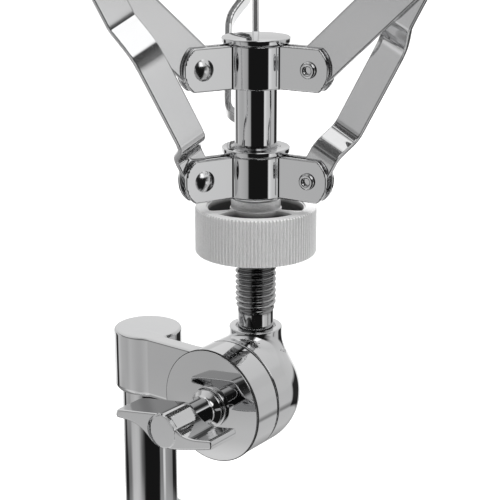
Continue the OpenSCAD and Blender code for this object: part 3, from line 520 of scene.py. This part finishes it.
def addCap(points, faces, loops, flip=False):
    first = len(points)
    flat = [Vector(p) for loop in loops for p in loop]
    points.extend(tuple(p) for p in flat)
    for a, b, c in tessellate_polygon([[Vector(p) for p in loop] for loop in loops]):
        normal = (flat[b] - flat[a]).cross(flat[c] - flat[a]).z
        upward = (a, b, c) if normal > 0 else (c, b, a)
        faces.append(tuple(first + v for v in (upward[::-1] if flip else upward)))


def hardPiece(name, points, faces, material, place=None, angle=28):
    made = addMesh(name, points, faces, material, place=place)
    made.data.set_sharp_from_angle(angle=math.radians(angle))
    return made


def placedRows(place, line, sides):
    return [[tuple(place @ (Vector(p) * mm) / mm) for p in row] for row in circleRows(line, sides)]


def turnedPiece(name, corners, material, place, sides=192):
    points, faces = [], []
    addRows(points, faces, placedRows(place, softProfile(corners), sides))
    return hardPiece(name, points, faces, material)


def frameAt(origin, z, x=(1, 0, 0)):
    z = Vector(z).normalized()
    x = Vector(x)
    x = (x - z * x.dot(z)).normalized()
    place = Matrix((x, z.cross(x), z)).transposed().to_4x4()
    place.translation = Vector(origin)
    return place


def show(piece, body, slot, *replaced):
    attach(piece, body)
    if replaced:
        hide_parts(*replaced)
    return piece


bpy.context.scene.view_settings.view_transform = "Standard"
makeCamera()
makeWorld()
makeFloor()
makeLights()
say("camera and studio set")

chromeCast = chrome("chromeCast", softEdge=0.5 * mm, metal=0.9)
chromeSmooth = chrome("chromeSmooth")
chromeTube = chrome("chromeTube", stretch=(1, 1, 0.08))
chromeFlat = chrome("chromeFlat", level=0.61, metal=0.9)
chromeRivet = chrome("chromeRivet", level=0.66, rough=0.13)
# The thread's chrome is a darker copy of the chrome: painted shade for the dark parts round it that it reflects
chromeThread = chrome("chromeThread", level=0.56, rough=0.06)
paintThreadShade(chromeThread)
satinAluminium = satin("satinAluminium")
# The nut's material carries painted shade in its pockets and painted light on its top and sleeve
knurledAluminium = satin("knurledAluminium")
shadeNut(knurledAluminium)
seamShadow = darkPlastic("seamShadow", 0.012, 0.6, 3000.0)
blackRubber = darkPlastic("blackRubber", 0.025, 0.55, 900.0, 1.4 * mm)
darkNylon = darkPlastic("darkNylon", 0.05, 0.45, 500.0)
bySlot = {"chrome": chromeCast, "satin_aluminium": satinAluminium, "rubber": blackRubber,
          "nylon": darkNylon, "plug_plastic": darkNylon}
for part in frame["record"]["subparts"]:
    mesh = nodes[part["node"]].data
    mesh.materials.clear()
    mesh.materials.append(bySlot[part["material_slot"]])
say("materials set")

# Tilter: sizes in millimetres round the tilting axis, taken from the frame
tiltCentre = Vector((middle("pressure_washer").x, 0, middle("pressure_washer").z))
tiltPlace = Matrix.Translation(tiltCentre)


def boxOf(node, origin):
    low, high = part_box(node)
    return (low - Vector(origin)) / mm, (high - Vector(origin)) / mm


bodyLow, bodyHigh = boxOf("tilter_body", tiltCentre)
headLow, headHigh = boxOf("tilter_head", tiltCentre)
washerLow, washerHigh = boxOf("pressure_washer", tiltCentre)
tubeLow, tubeHigh = boxOf("height_tube", (0, 0, 0))
tubeR = tubeHigh.x
discR = bodyHigh.x
capX = -tiltCentre.x / mm
capR = capX - bodyLow.x
castTilter = {"capRise": 5, "capHigh": 30, "armFront": 0.4, "armThick": 7.8, "discThick": 16,
              "topEdge": 1.5, "lowEdge": 3.2, "armEdge": 0.3, "rimEdge": 0.2, "discEdge": 0.7,
              "armBlend": 2.0, "discBlend": 0.4, "tubeGap": 0.05, "tubeDepth": 4, "faceGap": 0.05,
              "grid": 0.7}
capTop = (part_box("height_tube")[1].z - tiltCentre.z) / mm + castTilter["capRise"]
faceY = washerHigh.y + castTilter["faceGap"]


def tiltBodyShape(x, y, z):
    part = castTilter
    low, topEdge, rimEdge = capTop - part["capHigh"], part["topEdge"], part["rimEdge"]
    across = np.hypot(x - capX, y)
    cap = softCorner(softCorner(z - capTop, across - capR, topEdge), low - z, part["lowEdge"])
    front = faceY + part["armFront"]
    plate = softCorner(slab(y, front, front + part["armThick"]), z - capTop, topEdge)
    plate = softCorner(plate, low - z, part["lowEdge"])
    plate = softCorner(plate, slab(x, capX, 0), part["armEdge"])
    arm = blendMin(cap, plate, part["armBlend"])
    arm = blendMax(blendMax(arm, z - capTop, rimEdge), low - z, rimEdge)
    disc = rod(y, np.hypot(x, z), front, faceY + part["discThick"], discR, part["discEdge"])
    body = blendMin(arm, disc, part["discBlend"])
    socket = np.where(z < capTop - part["tubeDepth"], across, farAway)
    return np.maximum(body, tubeR + part["tubeGap"] - socket)


tiltBody = castPiece("tiltBodyCasting", tiltBodyShape, bodyLow, bodyHigh, castTilter["grid"], chromeSmooth,
                     tiltPlace)
show(tiltBody, "upright", "chrome", "tilter_body")

# The front disc's own face, a little proud of the arm, and round it a thin dark ring, a painted shadow in the
# seam, whose corners are given from the disc's edge
tiltFace = {"deep": 3, "edge": 0.35, "boltR": 4.1,
            "seam": [(-0.1, -1.2, 0), (-0.1, -0.3, 0), (0.3, -0.34, 0.1), (0.34, -1.2, 0)]}
facePlace = frameAt(tiltCentre + Vector((0, faceY * mm, 0)), (0, -1, 0))
boltR, faceDeep = tiltFace["boltR"], tiltFace["deep"]
faceDisc = turnedPiece("tiltFaceDisc", [(discR, -faceDeep, 0), (discR, 0, tiltFace["edge"]), (boltR, 0, 0),
                                        (boltR, -faceDeep, 0)], chromeSmooth, facePlace)
show(faceDisc, "upright", "chrome")
# Painted shadow: a thin dark ring standing in the seam's gap
seam = turnedPiece("tiltFaceSeam", [(discR + out, height, soft) for out, height, soft in tiltFace["seam"]],
                   seamShadow, facePlace)
show(seam, "upright", "chrome")

castHead = {"straight": 8.5, "socketR": 12.2, "flareBlend": 3.5, "flareReach": 12, "holeR": 9.2,
            "holeDeep": 1.5, "edge": 0.5, "holeEdge": 0.1, "recessR": 8, "recessDeep": 4.4, "recessEdge": 0.4,
            "grid": 0.7}
postY = postAxis.y / mm


def tiltHeadShape(x, y, z):
    part = castHead
    edge, holeEdge = part["edge"], part["holeEdge"]
    across = np.hypot(x, z)
    depth = y - headLow.y
    ball = np.sqrt(x * x + z * z + np.maximum(depth - part["straight"], 0) ** 2) - discR
    dome = softCorner(softCorner(ball, -depth, edge), y - headHigh.y, edge)
    fromPost = np.hypot(x, y - postY)
    socket = rod(z, fromPost, 0, headHigh.z, part["socketR"], edge)
    head = blendMin(dome, socket, part["flareBlend"] * np.clip(1 + x / part["flareReach"], 0.3, 1.7))
    hole = rod(z, fromPost, headHigh.z - part["holeDeep"], farAway, part["holeR"], holeEdge)
    head = np.maximum(head, -hole)
    recess = rod(y, across, headHigh.y - part["recessDeep"], farAway, part["recessR"], holeEdge)
    return blendMax(head, -recess, part["recessEdge"])


tiltHead = castPiece("tiltHeadCasting", tiltHeadShape, headLow, headHigh, castHead["grid"], chromeSmooth,
                     tiltPlace)
show(tiltHead, "tilter_head", "chrome", "tilter_head")

# Wing nut: the outline seen from its front, x along the arm and y up
wingLow, wingHigh = boxOf("tilter_wing_nut", tiltCentre)
wingFront = wingLow.y
wingCorners = [(-25.0, 3.7), (-26.2, 3.1), (-26.8, 1.6), (-26.5, 0.1), (-25.5, -0.4), (-21.7, 0.1),
               (-17.6, 0.0), (-14.8, -0.5), (-12.2, -1.4), (-9.6, -2.9), (-7.4, -4.7), (-5.4, -6.3),
               (-3.3, -7.3), (-1, -7.7), (4.5, -7.2), (12.4, -5.5), (25.7, -1.7), (26.8, -1.0), (27.2, 0.3),
               (27.0, 1.6), (26.2, 2.4), (21.6, 1.5), (17.5, 0.8), (14.0, 0.7), (11.2, 1.1), (8.9, 1.9),
               (6.9, 3.2), (5.2, 4.9), (3.7, 6.5), (2.2, 7.5), (0.6, 7.9), (-1.2, 7.8), (-7, 6.85),
               (-13, 5.8), (-19, 4.75)]
wingSize = {"deep": 17.5, "edge": 0.75, "tipFrom": 22, "tipReach": 4, "tipEdge": 1.0, "markR": 7.6,
            "proud": 0.12, "markEdge": 0.12, "markDeep": 2, "markBlend": 0.35, "notchOff": 1.5,
            "notchDeep": 1.4, "frontGap": 0.02, "grid": 0.36, "low": (-27, -8), "high": (27.4, 8, 0.2)}
wingNeckSize = {"r": 5.8, "frontCover": 3, "flareHigh": 3.4, "flareSoft": 2.6, "seatR": 8.5, "seatHigh": 1.3,
                "seatEdge": 0.5, "seatGap": 0.1, "boreR": 3}


def roundedOutline(corners, steps=3):
    loop = np.array(corners, float)
    before, after, third = np.roll(loop, 1, 0), np.roll(loop, -1, 0), np.roll(loop, -2, 0)
    rows = []
    for k in range(steps):
        t = k / steps
        bend = 2 * before - 5 * loop + 4 * after - third
        rows.append(0.5 * (2 * loop + (after - before) * t + bend * t * t
                           + (3 * loop - before - 3 * after + third) * t ** 3))
    return np.stack(rows, 1).reshape(-1, 2)


wingOutline = roundedOutline(wingCorners)


def wingShape(x, y, z):
    part = wingSize
    across = np.hypot(x, y)
    edge = part["edge"] + part["tipEdge"] * np.clip((-x - part["tipFrom"]) / part["tipReach"], 0, 1)
    wings = softCorner(insideOutline(x, y, wingOutline), slab(z, -part["deep"], 0), edge)
    mark = softCorner(across - part["markR"], slab(z, -part["markDeep"], part["proud"]), part["markEdge"])
    body = blendMin(wings, mark, part["markBlend"])
    notch = np.maximum(across - part["markR"] - 0.1, part["markR"] - np.hypot(x - part["notchOff"], y))
    return np.maximum(body, -np.maximum(notch, -part["notchDeep"] - z))


wingFace = wingFront + wingSize["proud"] + wingSize["frontGap"]
wingPlace = frameAt(tiltCentre + Vector((0, wingFace * mm, 0)), (0, -1, 0))
tiltWing = castPiece("tiltWingNut", wingShape, (*wingSize["low"], -wingSize["deep"]), wingSize["high"],
                     wingSize["grid"], chromeSmooth, wingPlace)
show(tiltWing, "tilter_wing_nut", "chrome", "tilter_wing_nut")
part = wingNeckSize
seat, neckR, seatR = wingFront - wingHigh.y, part["r"], part["seatR"]
wingNeck = turnedPiece("tiltWingNeck", [(neckR, part["frontCover"] - wingSize["deep"], 0),
                                        (neckR, seat + part["flareHigh"], part["flareSoft"]),
                                        (seatR, seat + part["seatHigh"], part["seatEdge"]),
                                        (seatR, seat + part["seatGap"], 0.2),
                                        (part["boreR"], seat + part["seatGap"], 0)], chromeSmooth, wingPlace)
show(wingNeck, "tilter_wing_nut", "chrome")

washerSize = {"boreR": 4.3, "edge": 0.5}
washerPlace = frameAt(tiltCentre + Vector((0, washerHigh.y * mm, 0)), (0, -1, 0))
washerR, washerThick, boreR = washerHigh.x, washerHigh.y - washerLow.y, washerSize["boreR"]
washer = turnedPiece("pressureWasher", [(washerR, 0, 0), (washerR, washerThick, washerSize["edge"]),
                                        (boreR, washerThick, 0), (boreR, 0, 0), (washerR, 0, 0)],
                     chromeSmooth, washerPlace)
show(washer, "upright", "chrome", "pressure_washer")
say("tilter done")

# Hub, post and stem, in millimetres round the post's axis at the upper pivots' height
hubPlace = Matrix.Translation(upperCentre)
lowerDrop = (upperZ - lowerZ) / mm
upperLow, upperHigh = boxOf("upper_hub", upperCentre)
lowerLow, lowerHigh = boxOf("lower_hub", upperCentre)
postLow, postHigh = boxOf("post_tube", upperCentre)
hubSize = {"flangeR": upperHigh.x, "flangeThick": 2.6, "flangeEdge": 0.55, "sleeveR": 12.1, "sleeveEdge": 0.3,
           "upperBoreR": 9.6, "lowerBoreR": 9.62, "mouthR": 11.2, "boreDrop": 0.7, "boreSlope": 0.4}


def hubOutside(low, high):
    part = hubSize
    under, flangeR, edge = high - part["flangeThick"], part["flangeR"], part["flangeEdge"]
    return [(part["sleeveR"], low, part["sleeveEdge"]), (part["sleeveR"], under, 0), (flangeR, under, edge),
            (flangeR, high, edge)]


upperHub = turnedPiece("upperHubFlange", [(hubSize["upperBoreR"], upperLow.z, 0),
                                          *hubOutside(upperLow.z, upperHigh.z), (0.01, upperHigh.z, 0)],
                       chromeSmooth, hubPlace)
show(upperHub, "basket_post", "chrome", "upper_hub")
boreR, mouthR, boreTop = hubSize["lowerBoreR"], hubSize["mouthR"], lowerHigh.z - hubSize["boreDrop"]
lowerHub = turnedPiece("lowerHubFlange", [(boreR, boreTop + 0.1, 0), (boreR, lowerLow.z, 0),
                                          *hubOutside(lowerLow.z, lowerHigh.z), (mouthR, lowerHigh.z, 0),
                                          (mouthR - hubSize["boreSlope"], boreTop, 0), (boreR, boreTop, 0)],
                       chromeSmooth, hubPlace)
show(lowerHub, "lower_hub", "chrome", "lower_hub")

postSize = {"wall": 1.4, "edge": 0.3, "sides": 256}
postR = postHigh.x
postIn = postR - postSize["wall"]
post = turnedPiece("postTube", [(postIn, postLow.z, 0), (postR, postLow.z, postSize["edge"]),
                                (postR, postHigh.z, 0)], chromeTube, hubPlace, postSize["sides"])
show(post, "basket_post", "chrome", "post_tube")

stemLow, stemHigh = boxOf("threaded_stem", upperCentre)
thread = {"pitch": 2.7, "outR": stemHigh.x, "rootR": stemHigh.x - 1.2, "neckR": 8.2, "runOutTop": -114.0,
          "runOut": 5.0, "steep": 2.6, "rootFlat": 0.25, "topShort": 2, "sides": 96, "perTurn": 12}


# A true helix: the rows climb one pitch round the stem, and each row's end joins the row a turn up
def threadedStem():
    part = thread
    sides, perTurn, pitch = part["sides"], part["perTurn"], part["pitch"]
    rows = int((stemHigh.z - part["topShort"] - stemLow.z) / pitch * perTurn)
    points, faces = [], []
    for row in range(rows + 1):
        phase = (row / perTurn) % 1
        crest = max(0.0, min(1.0, part["steep"] * (0.5 - abs(phase - 0.5)) - part["rootFlat"]))
        crest = crest * crest * (3 - 2 * crest)
        for k in range(sides):
            z = stemLow.z + (row / perTurn + k / sides) * pitch
            fade = max(0.0, min(1.0, (z - part["runOutTop"]) / part["runOut"]))
            radius = part["neckR"] + (part["rootR"] - part["neckR"]) * fade
            radius += (part["outR"] - part["rootR"]) * crest * fade
            angle = 2 * math.pi * k / sides
            points.append((radius * math.cos(angle), radius * math.sin(angle), min(z, stemHigh.z)))
    for row in range(rows):
        for k in range(sides):
            climb = 0 if k + 1 < sides else perTurn
            lower = row * sides + k
            beside = (row + climb) * sides + (k + 1) % sides
            if row + climb + 1 <= rows:
                faces.append((lower, beside, beside + sides, lower + sides))
    return hardPiece("threadedStem", points, faces, chromeThread, hubPlace, angle=60)


show(threadedStem(), "basket_post", "chrome", "threaded_stem")

# Basket nut. A pocket's wall is a row of (widening, drop from its rim) and (widening, rise from its floor)
nutLow, nutHigh = boxOf("basket_nut", upperCentre)
nut = {"rimDrop": 15.2, "ribs": 104, "ribDeep": 0.75, "ribSharp": 2.5, "perRib": 8, "chamfer": 0.7,
       "floorR": 22.2, "floorDrop": 0.6, "pocketMid": 16.65, "pocketHalf": 4.95, "pocketSpan": 46,
       "pocketEnd": 1.8, "pocketSquare": 3.2, "pocketDeep": 14,
       "pocketTop": [(0.3, 0), (0.1, 0.08), (0, 0.35)], "pocketLow": [(0, 0.8), (-0.25, 0.2), (-0.9, 0)],
       "arcSteps": 32, "endSteps": 20, "sleeveR": 11.2, "boreR": 9.48, "turn": 6.5 + 60, "sides": 160}


def kidney(grow, height, turn):
    part = nut
    span, half, middleR = math.radians(part["pocketSpan"]), part["pocketHalf"] + grow, part["pocketMid"]
    power, end = 2 / part["pocketSquare"], part["pocketEnd"] + grow
    arc, ends = part["arcSteps"], part["endSteps"]
    cs, sn = math.cos(span), math.sin(span)
    loop = [((middleR + half) * math.cos(a), (middleR + half) * math.sin(a))
            for a in (-span + 2 * span * k / arc for k in range(arc + 1))]
    for k in range(1, ends):
        a = math.pi * k / ends
        out = middleR + half * math.copysign(abs(math.cos(a)) ** power, math.cos(a))
        beside = end * math.sin(a) ** power
        loop.append((out * cs - beside * sn, out * sn + beside * cs))
    loop += [((middleR - half) * math.cos(a), (middleR - half) * math.sin(a))
             for a in (span - 2 * span * k / arc for k in range(arc + 1))]
    loop += [(x, -y) for x, y in loop[arc + 1:arc + ends][::-1]]
    c, s = math.cos(turn), math.sin(turn)
    return [(x * c - y * s, x * s + y * c, height) for x, y in loop]


def basketNut():
    part = nut
    top = -lowerDrop - part["rimDrop"]
    low, sleeveTop, crestR = nutLow.z, nutHigh.z, nutHigh.x
    sides = part["sides"]
    points, faces = [], []
    steps = np.arange(part["ribs"] * part["perRib"])
    angles = steps * 2 * math.pi / len(steps)
    groove = np.abs(np.cos(steps * math.pi / part["perRib"])) ** part["ribSharp"]
    cut = part["chamfer"]
    rows = []
    for inset, height, share in [(3, low, 0), (1.6, low, 0), (0.6, low + 0.1, 0.6), (0.15, low + 0.5, 1),
                                 (0, low + 0.9, 1), (0, (low + top) / 2, 1), (0, top - cut, 1),
                                 (cut * 0.5, top - cut * 0.5, 1), (cut, top, 1), (1.5, top, 0)]:
        radius = crestR - np.maximum(inset, part["ribDeep"] * groove * share)
        heights = np.full(len(steps), height)
        rows.append(np.stack([radius * np.cos(angles), radius * np.sin(angles), heights], -1))
    addRows(points, faces, rows)
    floor, floorR, sleeveR, boreR = top - part["floorDrop"], part["floorR"], part["sleeveR"], part["boreR"]
    step = circleRows(softProfile([(floorR + 2, top), (floorR, top, 0.4), (floorR, floor)]), sides)
    addRows(points, faces, step)
    addCap(points, faces, [rows[-1], step[0][::-1]])
    sleeve = circleRows(softProfile([(sleeveR, floor, 0), (sleeveR, sleeveTop, 0.5), (boreR, sleeveTop, 0.3),
                                     (boreR, low, 0)]), sides)
    addRows(points, faces, sleeve)
    deep = floor - part["pocketDeep"] + part["floorDrop"]
    walls = [(grow, floor - drop) for grow, drop in part["pocketTop"]]
    walls += [(grow, deep + rise) for grow, rise in part["pocketLow"]]
    pockets = []
    for k in range(3):
        turn = math.radians(part["turn"] + 120 * k)
        rings = [kidney(grow, height, turn) for grow, height in walls]
        addRows(points, faces, rings)
        addCap(points, faces, [rings[-1]])
        pockets.append(rings[0][::-1])
    addCap(points, faces, [step[-1], sleeve[0][::-1], *pockets])
    bore = circleRows([(boreR, low)], sides)[0]
    addCap(points, faces, [rows[0], bore[::-1]], flip=True)
    return hardPiece("basketNutKnurled", points, faces, knurledAluminium, hubPlace)


show(basketNut(), "basket_nut", "satin_aluminium", "basket_nut")
say("hub done")

# Sheet brackets: in an arm's frame, x outward, y to the arm's left, z up, at its pivot's height
bracket = {"ringR": 14.3, "thick": 2.2, "high": 19, "earIn": 1.85, "earTip": 37.3, "earR": 12, "edge": 0.5,
           "earEdge": 0.3, "bend": 0.9, "grid": 0.7, "low": (-23, -0.5, -9.5), "top": (37.5, 34.5, 9.5)}


def bracketShape(x, y, z):
    part = bracket
    half, thick, earIn, edge = part["high"] / 2, part["thick"], part["earIn"], part["edge"]
    c, s = math.cos(math.radians(120)), math.sin(math.radians(120))
    outward, beside = x * c + y * s, -x * s + y * c
    ring = slab(np.hypot(x, y), part["ringR"] - thick, part["ringR"])
    ring = np.maximum(ring, np.maximum(earIn - y, beside + earIn))
    sheet = softCorner(ring, np.abs(z) - half, edge)
    endX = part["earTip"] - part["earR"]
    for along, side in ((x, y), (outward, -beside)):
        rounded = np.hypot(np.maximum(along - endX, 0), z) - part["earR"]
        ear = np.maximum(rounded, part["ringR"] - thick - along)
        ear = softCorner(ear, np.abs(z) - half, part["earEdge"])
        ear = softCorner(slab(side, earIn, earIn + thick), ear, edge)
        sheet = blendMin(sheet, ear, part["bend"])
    return sheet


def armPlace(number):
    joint = joints[f"arm_{number}_fold"]
    axis = Vector(joint["axis"])
    return Vector(joint["pos_m"]), Vector((-axis.y, axis.x, 0))


# The basket's two levels: their body, their height and their rivets' node
levels = {"upper": ("basket_post", upperZ, "upper_pivot_rivets"),
          "lower": ("lower_hub", lowerZ, "lower_pivot_rivets")}
for number in (1, 2, 3):
    pivot, outward = armPlace(number)
    for level, (body, height, _) in levels.items():
        place = frameAt((postAxis.x, postAxis.y, height), (0, 0, 1), outward)
        sheet = castPiece(f"{level}BracketSheet{number}", bracketShape, bracket["low"], bracket["top"],
                          bracket["grid"], chromeSmooth, place)
        show(sheet, body, "chrome", f"{level}_bracket_{number}")

# Arms and struts: x along the bar from its lower pivot, y to its left
arm = {"long": 195, "half": 9, "thick": 3.2, "edge": 0.55, "grid": 0.8}
strut = {"half": 6.6, "thick": 3.2, "edge": 0.55, "offset": 13, "endOffset": 3.5, "grid": 0.7,
         "bends": (15.5, 22.3, 68.5, 80.5), "soft": (4.0, 3.5, 6.5, 2.0), "room": 15}


def armShape(x, y, z):
    side = np.maximum(stadium(x, z, arm["long"] + 2 * arm["half"], arm["half"]), x - arm["long"])
    return softCorner(side, np.abs(y) - arm["thick"] / 2, arm["edge"])


def strutMiddle(x):
    part = strut
    first, second, third, fourth = [np.logaddexp(0, (x - bend) / soft * 3) * soft / 3
                                    for bend, soft in zip(part["bends"], part["soft"])]
    outLength, backLength = part["bends"][1] - part["bends"][0], part["bends"][3] - part["bends"][2]
    back = part["offset"] - part["endOffset"]
    return part["offset"] * (first - second) / outLength - back * (third - fourth) / backLength


def strutShape(long):
    def shape(x, y, z):
        lean = (strutMiddle(x + 0.1) - strutMiddle(x - 0.1)) / 0.2
        off = np.abs(y - strutMiddle(x)) / np.sqrt(1 + lean * lean) - strut["thick"] / 2
        return softCorner(stadium(x, z, long, strut["half"]), off, strut["edge"])
    return shape


def addBar(name, node, shape, foot, rivet, left, low, high, grid):
    along = (rivet - foot).normalized()
    place = frameAt(foot, along.cross(left), along)
    bar = castPiece(name, shape, low, high, grid, chromeFlat, place)
    show(bar, node, "chrome", node)


for number in (1, 2, 3):
    pivot, outward = armPlace(number)
    rivet = Vector(joints[f"strut_{number}_fold"]["pos_m"])
    left = Vector((0, 0, 1)).cross(outward)
    half, side = arm["half"], arm["thick"] / 2
    addBar(f"basketArm{number}", f"arm_{number}", armShape, pivot, rivet, left, (-half, -side, -half),
           (arm["long"], side, half), arm["grid"])
    lower = pivot - Vector((0, 0, lowerDrop * mm))
    long = (rivet - lower).length / mm
    half, side = strut["half"], strut["thick"] / 2
    addBar(f"basketStrut{number}", f"strut_{number}", strutShape(long), lower, rivet, left,
           (-half, -side, -half), (long + half, strut["room"], half), strut["grid"])

# Rivets of the basket: a dome on the left, a rolled hollow end on the right
pivotRivet = {"shank": 2.5, "grip": 8.1, "domeR": 4.75, "domeHigh": 2.1, "rollR": 3.75, "rollHigh": 1.5,
              "rollOut": 0.72, "rollIn": 0.7, "holeR": 1.5, "holeDeep": 3.0, "floorRise": 0.6,
              "floorEdge": 0.4, "sides": 64}


def domeProfile(radius, high, steps=12):
    ballR = (radius * radius + high * high) / (2 * high)
    reach = math.asin(min(1, radius / ballR))
    turns = [reach * (1 - k / steps) for k in range(steps + 1)]
    return [(ballR * math.sin(turn) + 0.001, high - ballR + ballR * math.cos(turn)) for turn in turns]


def rolledEnd():
    part = pivotRivet
    radius, high, holeR, floor = part["rollR"], part["rollHigh"], part["holeR"], -part["holeDeep"]
    return [(radius, 0, 0), (radius, high, high * part["rollOut"]), (holeR, high, high * part["rollIn"]),
            (holeR, floor + part["floorRise"], part["floorEdge"]), (0.01, floor, 0)]


for level, (body, height, rivetNode) in levels.items():
    part = pivotRivet
    reach = part["grip"] / 2
    points, faces = [], []
    for number in (1, 2, 3):
        pivot, outward = armPlace(number)
        pivot = Vector((pivot.x, pivot.y, height))
        left = Vector((0, 0, 1)).cross(outward)
        dome = domeProfile(part["domeR"], part["domeHigh"])
        shank = [(part["shank"], 0), (part["shank"], part["grip"])]
        for profile, start, aim in ((dome, 1, 1), (rolledEnd(), -1, -1), (shank, -1, 1)):
            place = frameAt(pivot + left * reach * start * mm, left * aim, (0, 0, 1))
            addRows(points, faces, placedRows(place, softProfile(profile), part["sides"]))
    rivets = hardPiece(f"{level}PivotRivets", points, faces, chromeRivet)
    show(rivets, body, "chrome", rivetNode)
say("basket done")

# Height tube, and the bush under its visible length: the bush's lip stays low, below the picture
tubeSize = {"wall": 1.6, "edge": 0.3, "sides": 256}
bushSize = {"clear": 0.08, "bodyR": 14.22, "bodyEdge": 0.2, "lipR": 15.3, "lipBase": 2.5, "lipHigh": 1.0,
            "lipFoot": 0.1, "rim": 0.45}
atOrigin = Matrix.Identity(4)
tubeIn = tubeR - tubeSize["wall"]
tube = turnedPiece("heightTube", [(tubeIn, tubeHigh.z, 0), (tubeIn, tubeLow.z, 0),
                                  (tubeR, tubeLow.z, tubeSize["edge"]), (tubeR, tubeHigh.z, 0)],
                   chromeTube, atOrigin, tubeSize["sides"])
show(tube, "upright", "chrome", "height_tube")
bushLow, bushHigh = boxOf("clamp_bush", (0, 0, 0))
bushIn, bodyR, lipR = tubeR + bushSize["clear"], bushSize["bodyR"], bushSize["lipR"]
bodyEdge = bushSize["bodyEdge"]
lipFoot = bushHigh.z - bushSize["lipBase"]
lipTop = lipFoot + bushSize["lipHigh"]
bush = turnedPiece("clampBushLip", [(bushIn, lipFoot, 0), (bushIn, bushLow.z, bodyEdge),
                                    (bodyR, bushLow.z, bodyEdge), (bodyR, lipFoot, 0),
                                    (lipR, lipFoot, bushSize["lipFoot"]), (lipR, lipTop, bushSize["rim"]),
                                    (bushIn, lipTop, 0), (bushIn, lipFoot, 0)], darkNylon, atOrigin)
show(bush, "clamp_bush", "nylon", "clamp_bush")
say("tube and bush done")
